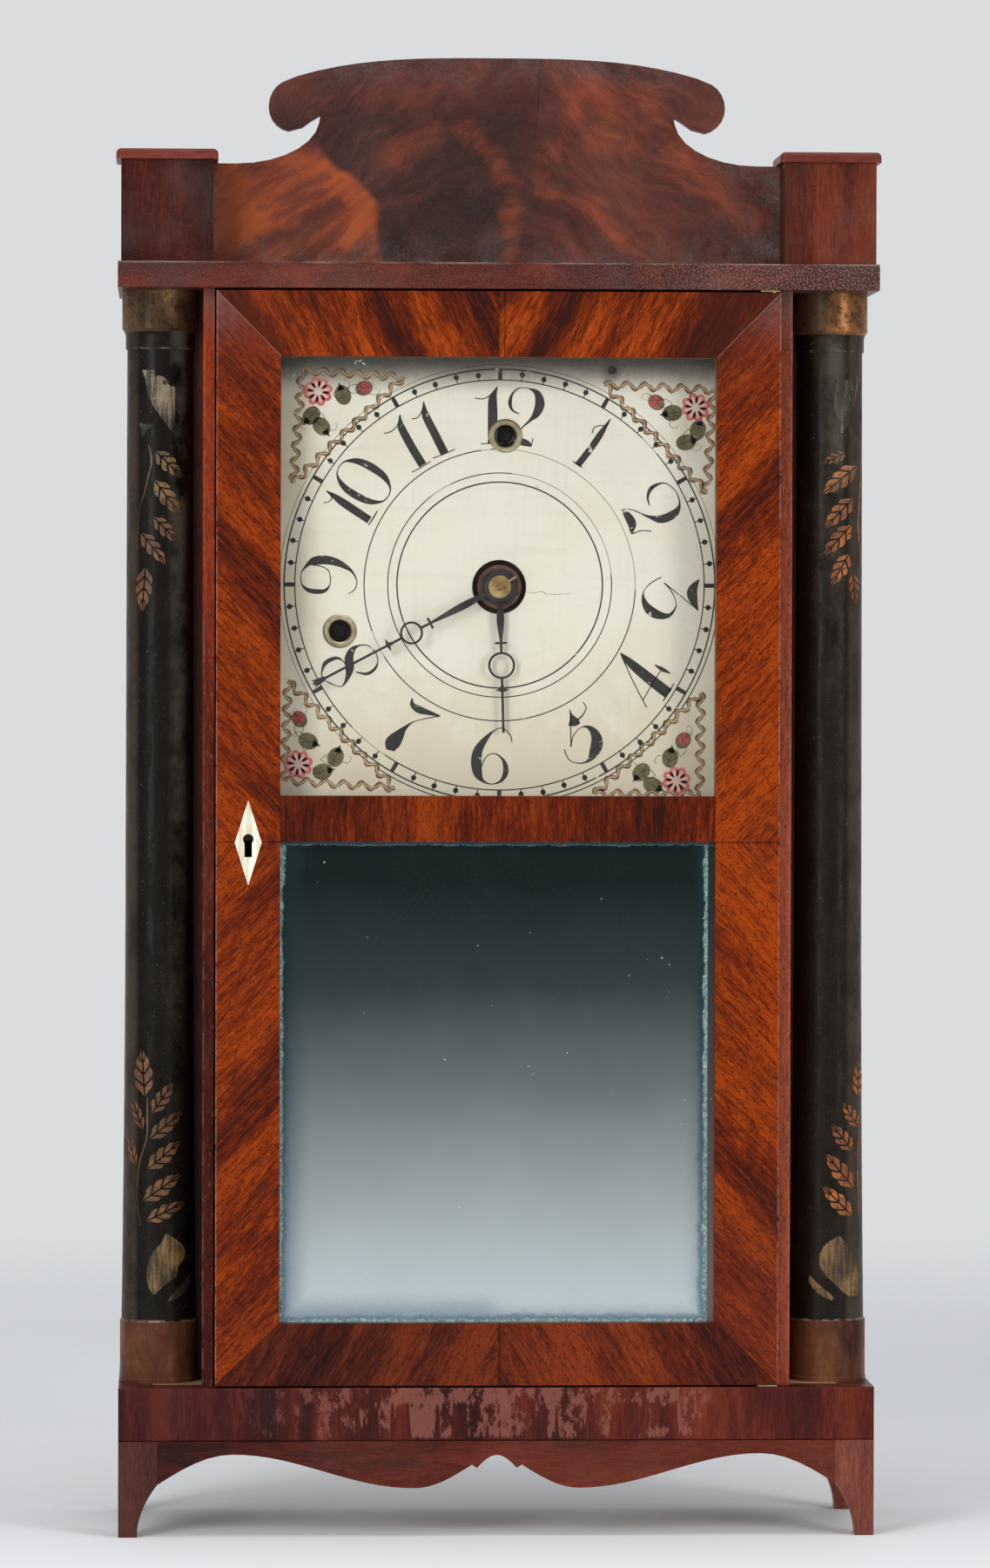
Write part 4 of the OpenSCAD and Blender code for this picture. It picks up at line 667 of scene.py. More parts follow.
def dial_white():
    m = Mat("dial_white")
    x, y, z = m.xyz
    tone = m.noise(9, 4, 0.6, 0.3)
    m.col = m.ramp(tone, 0.3, (680, 635, 510), 0.5, (725, 690, 565), 0.72, (760, 730, 620))
    mottle = m.noise(36, 5, 0.7, 0.2)
    m.lay(m.step(mottle, 0.48, 0.68) * 0.16, (600, 530, 390))
    strokes = m.noise(300, 3, 0.7, stretch=(1, 1, 0.03))
    m.lay(m.step(strokes, 0.52, 0.7) * 0.12, (540, 480, 360))
    board = m.noise(240, 2, 0.6, stretch=(0.05, 1, 1))
    m.lay(m.step(board, 0.55, 0.75) * 0.12, (500, 460, 360))
    crack = m.cells(230, "DISTANCE_TO_EDGE", m.mapped(stretch=(0.5, 1, 1)))
    m.lay(m.fade(crack, 0, 0.03) * 0.07, (300, 270, 200))
    dx, dz = x - DIAL[0], z - DIAL[1]
    radius = m.sqrt(dx * dx + dz * dz)
    corner = m.step(radius, 0.126, 0.15) * m.step(m.noise(60, 3), 0.35, 0.7)
    m.lay(corner * 0.25, (520, 400, 240))
    # Partly painted shade from the door frame, partly yellowing: browner and darker towards the left, the foot
    # and the right.
    rim = m.max(m.step(x, -0.09, -0.128) * 0.8, m.step(z, 0.545, 0.45) * 0.8)
    rim = m.max(rim, m.step(x, 0.095, 0.128) * 0.45)
    rim = m.max(rim, m.step(z, 0.56, 0.45) * 0.5)
    rim = rim * m.step(mottle + rim * 0.3, 0.35, 0.7)
    m.lay(rim * 0.52, (500, 395, 240))
    stain = m.step(m.noise(7, 4, 0.6, 0.5, at=(0.4, 0, 0.1)), 0.52, 0.72) * m.step(radius, 0.03, 0.11)
    m.lay(stain * 0.35, (600, 500, 330))
    spots = m.fade(m.cells(60), 0.05, 0.1) * m.step(m.noise(23), 0.55, 0.65)
    m.lay(spots * 0.3, (400, 300, 180))
    split = m.fade(abs(dz + 0.0035 + (m.noise(90) - 0.5) * 0.006), 0.0001, 0.0005)
    split = split * (m.step(dx, 0.014, 0.019) * m.fade(dx, 0.04, 0.044))
    m.lay(split * 0.6, (250, 200, 140))
    nail = m.sqrt((dx - NAIL[0] * MM) ** 2 + (dz - NAIL[1] * MM) ** 2)
    halo = m.fade(nail + (mottle - 0.5) * 0.012, 0.0028, 0.0085)
    m.lay(halo * 0.7, (130, 65, 35))
    # Painted shadow of the top rail, with grime: dark along the top of the dial window.
    shadow_and_grime = m.step(z + (m.noise(70, 5, 0.7) - 0.5) * 0.006, 0.669, 0.6905)
    m.lay(shadow_and_grime * 0.93, (58, 50, 40))
    dirt = m.step(m.noise(500, 3, 0.7), 0.6, 0.72) * m.step(z, 0.655, 0.69)
    m.lay(dirt * 0.6, (80, 60, 40))
    bare = m.ramp(m.noise(30, 4, 0.6, 0.2, stretch=(1, 1, 0.08)),
                  0.35, (200, 130, 70), 0.5, (300, 200, 115), 0.66, (400, 280, 165))
    m.lay(m.step(y, DIAL_FACE + 0.0012, DIAL_FACE + 0.0016), bare)
    m.bump(m.noise(300, 3, 0.6) + board * 0.4, 0.12, 0.0003)
    return m.finish(0.42 + tone * 0.2)


def paint(name, a, b, wear, under, scale=260):
    """Brush paint that has flaked in places, so what is under it shows."""
    m = Mat(name)
    n = m.noise(scale, 4, 0.7)
    m.col = m.ramp(m.noise(90, 3, 0.6), 0.35, a, 0.65, b)
    m.lay(m.step(n, wear, wear + 0.05), under)
    m.bump(n, 0.15, 0.0002)
    return m.finish(0.5 + n * 0.15)


CREAM = (620, 580, 480)
ink = paint("numeral_black", (14, 13, 11), (30, 28, 25), 0.63, CREAM, 210)
thin_ink = paint("ring_black", (14, 13, 12), (36, 34, 30), 0.66, CREAM, 160)
scroll_paint = paint("scroll_brown", (130, 60, 28), (270, 155, 75), 0.68, (520, 430, 280))
scroll_light = paint("scroll_gold", (400, 290, 150), (520, 410, 240), 0.66, CREAM)
pink = paint("petal_pink", (460, 85, 85), (620, 190, 170), 0.62, CREAM)
pale_pink = paint("petal_pale", (680, 340, 290), (740, 500, 420), 0.7, CREAM)
bud_red = paint("bud_red", (240, 35, 30), (420, 85, 70), 0.6, (500, 330, 250), 500)
leaf_green = paint("leaf_olive", (70, 56, 22), (160, 135, 60), 0.62, (300, 240, 130))


def leaf_gold(name, high, low):
    """Bronze powder leaves: straw-coloured high up, rusty lower down, with chips and dark rubbed places."""
    m = Mat(name)
    n = m.noise(520, 4, 0.7)
    cloud = m.noise(60, 3, 0.6)
    tone = m.ramp(m.step(m.xyz[2], 0.575, 0.635), 0, low, 1, high)
    m.col = m.mix(m.step(cloud, 0.66, 0.4), tone, m.mix(0.62, tone, (22, 13, 8)))
    m.lay(m.step(n, 0.54, 0.6), (30, 19, 12))
    m.bump(n, 0.15, 0.0002)
    return m.finish(0.42 + n * 0.15)


gold_leaf = leaf_gold("stencil_gold", (340, 130, 40), (410, 110, 16))
dull_gold = leaf_gold("stencil_dull_gold", (210, 130, 58), (200, 76, 24))
bare_chalk = paint("bare_chalk", (440, 500, 480), (620, 660, 620), 0.66, (200, 190, 170), 700)


def streaked(name, a, b, under, thin=0.6):
    """Bronze powder rubbed through a stencil: it lies in upright streaks and thins out in places."""
    m = Mat(name)
    streak = m.noise(520, 3, 0.6, stretch=(1, 1, 0.1))
    grain = m.noise(1500, 2, 0.7)
    cloud = m.noise(42, 2, 0.5)
    cover = streak * 0.5 + (grain * 0.35 + cloud * 0.55)
    m.col = m.mix(m.step(cover, thin, thin + 0.2), under, m.ramp(m.noise(70, 3), 0.35, a, 0.65, b))
    m.bump(streak, 0.1, 0.0002)
    return m.finish(0.4 + grain * 0.2, 0, Specular_IOR_Level=0.2)


COLUMN_BLACK = (20, 16, 11)
fruit_gold = streaked("stencil_fruit_gold", (130, 70, 26), (250, 142, 56), COLUMN_BLACK, 0.65)
horn_gold = streaked("stencil_horn_gold", (140, 100, 58), (270, 210, 140), COLUMN_BLACK, 0.63)
horn_haze = streaked("stencil_horn_haze", (50, 42, 28), (90, 74, 50), COLUMN_BLACK)


def twisted_cord():
    m = Mat("twisted_cord")
    x, y, z = m.xyz
    twist = m.math("SINE", (z + x * 0.6 + y * 0.9) * 3600)
    n = m.noise(400, 3)
    m.col = m.ramp(twist * 0.2 + n, 0.3, (200, 150, 85), 0.7, (460, 380, 250))
    m.bump(twist + n, 0.4, 0.0004)
    return m.finish(0.85)


def turned_wood():
    """Dark turned wood of the hub and the hands' pipe"""
    m = Mat("hub_wood")
    n = m.noise(160, 4, 0.6)
    m.col = m.ramp(n, 0.35, (45, 16, 11), 0.65, (150, 60, 43))
    m.bump(n, 0.2, 0.0004)
    return m.finish(0.45 + n * 0.2)


linen, hub_wood = twisted_cord(), turned_wood()

LOOKS = (
    (foot_wood, "bracket_feet"), (apron_wood, "aprons"), (base_wood, "base_rails"), (pine_x, "floor_board"),
    (side_wood, "side_boards"), (post_wood, "front_posts"), (case_x, "cornice_board"), (splat_wood, "splat"),
    (plinth_wood, "plinth_blocks"), (cap_wood, "plinth_caps"), (column_paint(), "half_columns"),
    (door_stile, "door_stile_left door_stile_right"), (door_top, "door_rail_top"),
    (door_mid, "door_rail_middle"), (door_low, "door_rail_bottom"), (pane(), "dial_glass"),
    (silvering(), "mirror_plate"), (bone_paint(), "escutcheon"), (dial_white(), "dial_board"),
    (pine, "back_board glass_retainers dial_cleats movement_rails"),
    (oak, "front_plate back_plate plate_pillars"), (drum_wood, "time_drum strike_drum"),
    (hub_wood, "hour_wheel"), (ferrule_brass, "winding_ferrules"), (hand_iron, "hour_hand minute_hand"),
    (brass, "hinge_pins lock_bolt suspension_pin pendulum_rod pendulum_bob hand_washer"),
    (iron, "lock_case verge hammer pulley_brackets"), (cast, "bell weight_left weight_right"),
    (linen, "cord_runs cord_drop_left cord_drop_right"),
)
looks = {name: look for look, names in LOOKS for name in names.split()}
for name, obj in nodes.items():
    obj.data.materials.clear()
    obj.data.materials.append(looks.get(name, cherry))
    for p in obj.data.polygons:
        p.material_index = 0


# ---- Thin painted shapes, laid on the dial or round a column ----
def add_mesh(name, verts, faces, material):
    me = bpy.data.meshes.new(name)
    me.from_pydata(verts, [], faces)
    me.update()
    me.materials.append(material)
    ob = bpy.data.objects.new(name, me)
    bpy.context.scene.collection.objects.link(ob)
    return ob


class Sheet:
    """Collects flat quads in a surface's own (u, v), in millimetres."""

    def __init__(self, place):
        self.place, self.verts, self.faces = place, [], []

    def grid(self, rows):
        """rows of equal length, each a list of (u, v)"""
        start, n = len(self.verts), len(rows[0])
        self.verts += [self.place(u, v) for row in rows for u, v in row]
        for i in range(len(rows) - 1):
            first = start + i * n
            self.faces += [(a, a + 1, a + n + 1, a + n) for a in range(first, first + n - 1)]

    def stroke(self, points, turn=0, at=(0, 0), scale=1, steps=7):
        """A brush stroke through (u, v, width) points along a smooth line."""
        line = smooth(points, steps)
        c, s = math.cos(turn), math.sin(turn)
        left, right = [], []
        for i, (u, v, w) in enumerate(line):
            a, b = line[max(i - 1, 0)], line[min(i + 1, len(line) - 1)]
            du, dv = b[0] - a[0], b[1] - a[1]
            k = math.hypot(du, dv) or 1
            nu, nv = -dv / k * w / 2, du / k * w / 2
            for side, pu, pv in ((left, u + nu, v + nv), (right, u - nu, v - nv)):
                pu, pv = pu * scale, pv * scale
                side.append((at[0] + c * pu - s * pv, at[1] + s * pu + c * pv))
        self.grid([left, right])

    def disc(self, u, v, r, n=20, squash=1, turn=0):
        c, s = math.cos(turn), math.sin(turn)
        rows = []
        for part in (1, 0.05):
            row = []
            for k in range(n + 1):
                a = 2 * math.pi * k / n
                p, q = r * math.cos(a), r * squash * math.sin(a)
                row.append((u + (c * p - s * q) * part, v + (s * p + c * q) * part))
            rows.append(row)
        self.grid(rows)

    def ring(self, r, w, start, end):
        """Part of a ring, between two angles in degrees, clockwise from the top"""
        n = max(8, int((end - start) / 2))
        turns = [math.radians(start + (end - start) * k / n) for k in range(n + 1)]
        self.grid([[(rr * math.sin(a), rr * math.cos(a)) for a in turns] for rr in (r - w / 2, r + w / 2)])

    def build(self, name, material, slot="dial_paint"):
        ob = add_mesh(name, self.verts, self.faces, material)
        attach(ob, "case")


THINNEST = 0.005


def smooth(points, steps):
    """Catmull-Rom line through points"""
    if len(points) < 3:
        a, b = points[0], points[-1]
        return [tuple(p + (q - p) * i / steps for p, q in zip(a, b)) for i in range(steps + 1)]
    out = []
    for i in range(len(points) - 1):
        near_four = [points[max(i - 1, 0)], points[i], points[i + 1], points[min(i + 2, len(points) - 1)]]
        for t in (k / steps for k in range(steps)):
            out.append(tuple(
                b + 0.5 * t * (c - a + t * (2 * a - 5 * b + 4 * c - d + t * (3 * b - a - 3 * c + d)))
                for a, b, c, d in zip(*near_four)))
    return [(u, v, max(w, THINNEST)) for u, v, w in out + [points[-1]]]


def polar(at, r, turn, *width):
    """The point r away from another in a direction, with a stroke's width where it has one"""
    return (at[0] + r * math.cos(turn), at[1] + r * math.sin(turn), *width)


def on_dial(lift, shift=(0, 0)):
    return lambda u, v: (DIAL[0] + (u + shift[0]) * MM, DIAL_FACE - lift * MM, DIAL[1] + (v + shift[1]) * MM)


# Minute track, rings and bars; they were struck a little above the hands' centre
RING_MID = (0.35, 1.1)
TRACK_IN, TRACK_OUT, DOT_R = 120.9, 127.2, 124.3
FAINT = 0.28  # width of a ring where it is nearly worn away
# each ring: radius, width, and the parts that are whole, in degrees clockwise from the top
RINGS = (
    (TRACK_OUT, 0.85, ((0, 360),)), (TRACK_IN, 0.7, ((0, 44), (50, 214), (226, 360))),
    (60.7, 0.85, ((0, 360),)), (66.1, 0.6, ((84, 322), (334, 366))),
    (80.1, 0.65, ((92, 238), (250, 352), (356, 366))), (129.9, 0.65, ((92, 222),)),
)
track = Sheet(on_dial(0.06, RING_MID))
for r, w, parts in RINGS:
    for start, end in parts:
        track.ring(r, w, start, end)
    for (_, end), (start, _) in zip(parts, parts[1:] + ((parts[0][0] + 360, 0),)):
        if start - end > 1:
            track.ring(r, FAINT, end, start)
track.build("dial_rings", thin_ink)
dots = Sheet(on_dial(0.1, RING_MID))
for minute in range(60):
    a = math.radians(6 * minute)
    s, c = math.sin(a), math.cos(a)
    if minute % 5 == 0:
        dots.stroke([(s * TRACK_IN, c * TRACK_IN, 2.6), (s * TRACK_OUT, c * TRACK_OUT, 2.3)])
    else:
        r = DOT_R + 0.5 * math.sin(minute * 2.3)
        dots.disc(r * s, r * c, 1.6, 14)
        dots.stroke([(s * (r - 3.4), c * (r - 3.4), 0.55), (s * (r + 2.4), c * (r + 2.4), 0.5)])
dots.build("dial_minutes", thin_ink)

# Hour numerals: brush strokes as (across, up, width), in hundredths of a numeral's height, from the middle
# of each number's foot. A point without a width has the thin line's. Four to eight have their feet outward.
HOURS = {
    1: [[(21, 108), (20, 92, 6.4), (19, 75, 10.8), (17, 47, 11.4), (12, 11, 11.4)], [(6, 71), (4, 81), (11, 89),
        (19, 93)], [(1, 12), (11, 11, 2.5), (21, 11)]],
    2: [[(8, 56), (-7, 61, 3.9), (-17, 74, 6.9), (-16, 93, 2.7), (-7, 103), (11, 108), (31, 103, 3.5),
        (41, 87, 13.4), (38, 62, 14), (22, 44, 4.2), (2, 29), (-8, 17), (-9, 9)], [(-9, 9, 1.9), (2, 14, 12),
        (20, 14, 15), (34, 6, 3.5), (38, 22), (48, 37)]],
    3: [[(-18, 41), (-6, 21), (9, 10), (26, 12, 9.6), (41, 23, 16.6), (49, 41, 12.7), (47, 57, 5.8), (30, 67),
        (9, 60), (-8, 46)], [(-8, 46), (15, 75), (39, 105)], [(40, 105), (18, 96, 16.2), (3, 96, 16.2),
        (-14, 107)]],
    4: [[(7, 101), (1, 79, 13.5), (-6, 38, 18.5), (-12, -7, 19)], [(5, 99), (-24, 58), (-52, 14)], [(-44, 26),
        (-13, 26), (15, 25)], [(19, 39), (19, 23, 7), (20, 8)], [(-28, -5), (-11, -6, 2.2), (8, -6)]],
    5: [[(1, 95), (-11, 72), (-30, 38)], [(0, 93), (-2, 86, 5), (-3, 76, 15), (-5, 69, 20), (-6, 66, 3)],
        [(3, 73, 3), (16, 76, 2), (27, 84), (27, 95)], [(-30, 38), (-15, 54), (6, 58, 2), (17, 45, 11.1),
        (15, 25, 19.9), (2, 11, 18.3), (-16, 2, 4.8), (-34, 8), (-44, 22), (-42, 40, 2)]],
    6: [[(23, 71), (20, 84), (6, 96), (-9, 91, 2.4), (-24, 76, 9.5), (-36, 57, 15.9), (-39, 37, 18.3),
        (-36, 17, 15.1), (-28, 5, 5.6), (-14, -1), (2, 3, 4), (11, 15, 8.7), (12, 29, 8.7), (6, 43, 4),
        (-8, 52), (-22, 46), (-30, 29)]],
    7: [[(-34, 99), (-28, 89, 8), (-14, 87, 12.5), (4, 91, 8.5), (24, 96)], [(24, 96), (6, 81), (-11, 64, 1.8),
        (-19, 46, 7.9), (-22, 28, 20.8), (-24, 13, 25.8), (-21, 1, 14.3)]],
    8: [[(4, 52), (16, 66, 4.8), (16, 82, 4.8), (7, 94), (-9, 98), (-26, 92), (-33, 78, 3.2), (-32, 65, 10.3),
        (-22, 53, 15.1), (-7, 46, 14.3), (7, 32, 6.4), (13, 17), (-2, 3), (-17, -3), (-28, 3, 3.2),
        (-36, 15, 7.2), (-34, 34, 5.6), (-23, 42), (-5, 41)]],
    9: [[(-12, 20), (-5, 10), (9, 6), (25, 14, 3.8), (35, 27, 8.9), (43, 45, 13.4), (46, 63, 15.3),
        (44, 80, 14), (38, 91, 6.4), (26, 101), (15, 103), (3, 101, 2.5), (-6, 91, 7), (-9, 75, 8.3),
        (-7, 61, 5.7), (3, 53), (15, 52), (28, 56), (35, 69), (37, 83)]],
    10: [[(-27, 95), (-17, 87), (-5, 91, 1.8)], [(-7, 102), (-8, 85, 9.1), (-10, 63, 13.6), (-13, 12, 13.6)],
        [(8, 8, 1.8), (-6, 8, 2.3), (-22, 9, 1.8)]],
    11: [[(-41, 89), (-30, 86), (-18, 88), (-7, 95)], [(-1, 104), (-6, 93, 7), (-10, 81, 13.2), (-11, 45, 14.2),
        (-10, 8, 14.6)], [(-32, 7), (-17, 6), (5, 7)], [(13, 87), (23, 84), (35, 90), (42, 97)], [(46, 103),
        (41, 91, 7), (37, 79, 13.2), (35, 44, 14.2), (33, 7, 14.6)], [(11, 10), (27, 7), (53, 4)]],
    12: [[(-43, 86), (-29, 85), (-18, 90), (-11, 97)], [(-4, 106), (-8, 97, 7.2), (-12, 85, 14.3),
        (-12, 63, 16.5), (-12, 38, 16.5), (-12, 8, 16.5)], [(-33, 7), (-15, 8, 1.8), (7, 8)], [(34, 59),
        (22, 66, 3.6), (18, 79, 6.4), (23, 95, 3.6), (35, 104), (51, 103, 2.1), (65, 95, 10.7), (70, 77, 16.5),
        (64, 60, 12.9), (53, 48, 5), (39, 35, 2.1), (25, 20), (12, 6)], [(12, 6, 1.8), (25, 15, 6.4),
        (39, 11, 12.2), (50, 7, 9.3), (55, 4, 2.1), (58, 17)]],
}
# widths up to 1 are shares of the half's own heaviest width
NOUGHT = ((0, 104), (14, 99, 3), (25, 80, 0.8), (28, 55, 1), (25, 28, 0.8), (14, 9, 3), (0, 4))
NOUGHT_X = 40
for side, heavy in ((1, 13.5), (-1, 12.5)):  # the halves of the nought of ten
    HOURS[10].append([(NOUGHT_X + side * u, v, *(x * heavy if x <= 1 else x for x in w))
                      for u, v, *w in NOUGHT])
NUMERAL_H, NUMERAL_R, THIN_LINE = 34, 98.9, 1.7
numerals = Sheet(on_dial(0.14))
for hour, strokes in HOURS.items():
    clock = math.radians(30 * hour)
    turn = math.pi - clock if 4 <= hour <= 8 else -clock
    mid = (NUMERAL_R * math.sin(clock), NUMERAL_R * math.cos(clock))
    for line in strokes:
        points = [(u / 100, v / 100 - 0.5, (w[0] if w else THIN_LINE) / 100) for u, v, *w in line]
        numerals.stroke(points, turn, mid, NUMERAL_H)
numerals.build("dial_numerals", ink)

# Corner ornaments, in millimetres from the dial's centre: the corners of a triangle of scrolls, a flower,
# three leaves and a bud, the last two with their directions
CORNERS = (
    ([(-57, 123.2), (-116.5, 127.2), (-121.5, 61)], (-107, 114.7),
     [(-92.4, 112.7, 1.9), (-111, 100.5, 4), (-105, 94.2, 5.4)], (-80, 116.8, 0.3)),
    ([(62, 119.5), (126.4, 116.5), (122.6, 56.5)], (115.8, 106.2),
     [(102.1, 102.9, 3.3), (117.2, 92.8, 1.3), (110.2, 85.6, 0.2)], (92.7, 109.1, 2.6)),
    ([(-124.5, -56), (-126.2, -114.4), (-61.5, -118.5)], (-118.3, -104.8),
     [(-112.5, -91.1, 5.9), (-96.3, -100.6, 1.2), (-104, -109.1, 0.2)], (-117.7, -78.3, 2.2)),
    ([(119.4, -62.5), (119, -121.6), (56.9, -121.9)], (105.2, -114.2),
     [(101.4, -100.6, 1.4), (84.3, -109.1, 4), (91.1, -116.8, 5.8)], (109.1, -90.3, 0.9)),
)
HEART = ((1, 0.5), (3.6, 1.5), (5.8, 1.7), (7, 0.4))  # a petal's heart: distance from the middle, width
TENDRIL = ((4, 0, 0.3), (8, 0.3, 0.25), (9.5, 0.7, 0.2), (7.5, 0.75, 0.15))  # distance, turn, width
HOOK = ((-3.4, 0.2, 0.2), (-2.6, 1.7, 0.8), (-0.6, 2.7, 1.1), (1.2, 2.1, 0.3))  # along, off, width
scrolls, scroll_lights, petals, hearts, leaves, buds, stems = (
    Sheet(on_dial(lift)) for lift in (0.05, 0.09, 0.08, 0.13, 0.07, 0.12, 0.16))


WAVE, WAVE_STEPS, SWAY = 10, 12, 1.45  # length of a scroll, points along it, and how far it swings out


def rope(a, b):
    """A brown band of S scrolls from a to b with a lighter middle and a small hook at each turn."""
    k = math.dist(a, b)
    du, dv = (b[0] - a[0]) / k, (b[1] - a[1]) / k
    waves = round(k / WAVE)

    def at(along, off, width):
        return a[0] + du * along - dv * off, a[1] + dv * along + du * off, width

    line = []
    for t in (i / (waves * WAVE_STEPS) for i in range(waves * WAVE_STEPS + 1)):
        turn = 2 * math.pi * waves * t
        line.append((k * t, SWAY * math.sin(turn), 0.85 + 0.25 * math.cos(2 * turn)))
    scrolls.stroke([at(p, q, 2.1 * w) for p, q, w in line], steps=2)
    scroll_lights.stroke([at(p, q, 0.8 * w) for p, q, w in line], steps=2)
    for i in range(2 * waves):
        top = k * (i + 0.5) / (2 * waves)
        scrolls.stroke([at(top + p, (-1) ** i * q, w) for p, q, w in HOOK], steps=3)


for tips, flower, leaf_places, (*bud, bud_turn) in CORNERS:
    for tip, next_tip in zip(tips, tips[1:] + tips[:1]):
        rope(tip, next_tip)
    for k in range(8):
        turn = k * math.pi / 4 + 0.25
        petals.disc(*polar(flower, 5.4, turn), 3.3, 18, 0.84, turn)
        hearts.stroke([polar(flower, r, turn, w) for r, w in HEART])
    for *mid, turn in leaf_places:
        leaves.disc(*mid, 6, 18, 0.8, turn)
        leaves.stroke([polar(mid, 3, turn, 4.5), polar(mid, 7.6, turn, 0.5)])
        stems.stroke([polar(mid, r, turn, w) for r, w in ((-5.2, 0.35), (0, 0.35), (3, 0.2))])
        for off in (-3.4, 3.4):
            vein = polar(polar(mid, 0.6, turn), off, turn + math.pi / 2, 0.2)
            stems.stroke([polar(mid, -2.5, turn, 0.25), vein])
    leaves.disc(*bud, 5.2, 18, 0.85, bud_turn)
    buds.disc(*polar(bud, 0.9, bud_turn), 3.9, 16, 0.9, bud_turn)
    for off in (-0.3, 0, 0.3):
        stems.stroke([polar(bud, 2, bud_turn, 0.3), polar(bud, 7, bud_turn + off, 0.15)])
    for i, mid in enumerate([place[:2] for place in leaf_places] + [bud]):
        to = math.atan2(flower[1] - mid[1], flower[0] - mid[0])
        for bend in (-2.6, 2.6):
            stems.stroke([polar(polar(mid, 0.4 * math.dist(mid, flower) * t, to), bend * math.sin(math.pi * t),
                                to + math.pi / 2, 0.3) for t in (k / 5 for k in range(6))], steps=3)
        away = to + math.pi + 0.9 * (-1) ** i
        stems.stroke([polar(mid, r, away + off, w) for r, off, w in TENDRIL], steps=4)
for name, sheet, look in (("scrolls", scrolls, scroll_paint), ("scroll_lights", scroll_lights, scroll_light),
                          ("petals", petals, pink), ("petal_hearts", hearts, pale_pink),
                          ("leaves", leaves, leaf_green), ("buds", buds, bud_red), ("stems", stems, thin_ink)):
    sheet.build("dial_" + name, look)

# Nail hole and flakes at the dial's top
nail = Sheet(on_dial(0.04))
nail.disc(*NAIL, 2.6, 18)
nail.build("dial_nail_hole", ink)
flakes = Sheet(on_dial(0.05))
for u, v, turn in ((-82.5, 132.8, 0.4), (-80.2, 131.2, -0.5), (-85, 132, 1.2), (-121.5, 124, 0.9),
                   (-119, 121, 0.2), (-123, 117.5, 1.4)):
    flakes.disc(u, v, 1.5, 9, 0.35, turn)
flakes.build("dial_flakes", bare_chalk)

# ---- Gold stencils on the columns ----
SHAFT_FOOT, SHAFT_TURN, SHAFT_NECK = 124, 124 + 643.8 * 0.42, 731 - 22.5 - 4.8 - 7.2
FOOT_R, TURN_R, NECK_R = 22, 20, 19.4
ROUND_LIMIT = 0.985  # how near paint comes to the column's very side, as a share of its radius


def shaft_r(z):
    """Radius of the shaft at a height, as the solids have it, in millimetres"""
    if z < SHAFT_TURN:
        t = max(0, (z - SHAFT_FOOT) / (SHAFT_TURN - SHAFT_FOOT))
        return TURN_R + (FOOT_R - TURN_R) * (1 - t) ** 1.8
    return TURN_R + (NECK_R - TURN_R) * (z - SHAFT_TURN) / (SHAFT_NECK - SHAFT_TURN)


def on_column(side, lift):
    """u is the place across the column as seen from the front, v the height"""
    def place(u, v):
        r = shaft_r(v)
        a = math.asin(max(-ROUND_LIMIT, min(ROUND_LIMIT, u / r)))
        r = (r + lift) * MM
        return side * (COLUMN_X - math.sin(a) * r), COLUMN_Y - math.cos(a) * r, v * MM
    return place


CUTS, RIB, VEIN_GAP, VEIN_RISE = 4, 0.45, 1.6, 0.16


def veined_leaf(sheet, foot, tip, width):
    """A pointed leaf from its foot to its tip, in pieces with gaps for its rib and slanting veins."""
    length = math.dist(foot, tip)
    c, s = (tip[0] - foot[0]) / length, (tip[1] - foot[1]) / length
    gap = VEIN_GAP / length / 2
    for side in (-1, 1):
        for k in range(CUTS):
            start, end = k / CUTS + gap, (k + 1) / CUTS - gap
            rows = []
            for i in range(5):
                row = []
                for f in (j / 4 for j in range(5)):
                    t = min(start + (end - start) * i / 4 + VEIN_RISE * f, 1)
                    half = width * 0.46 * math.sin(math.pi * t ** 0.8) ** 0.75
                    scallop = 0.86 + 0.18 * math.sin(math.pi * i / 4)
                    w = (RIB + max(half * scallop - RIB, 0) * f) * side
                    row.append((foot[0] + c * t * length - s * w, foot[1] + s * t * length + c * w))
                rows.append(row)
            sheet.grid(rows)


def filled(sheet, outline):
    """outline: rows of (height, one side, other side)"""
    sheet.grid([[(a + (b - a) * j / 6, v) for j in range(7)] for v, a, b in outline])


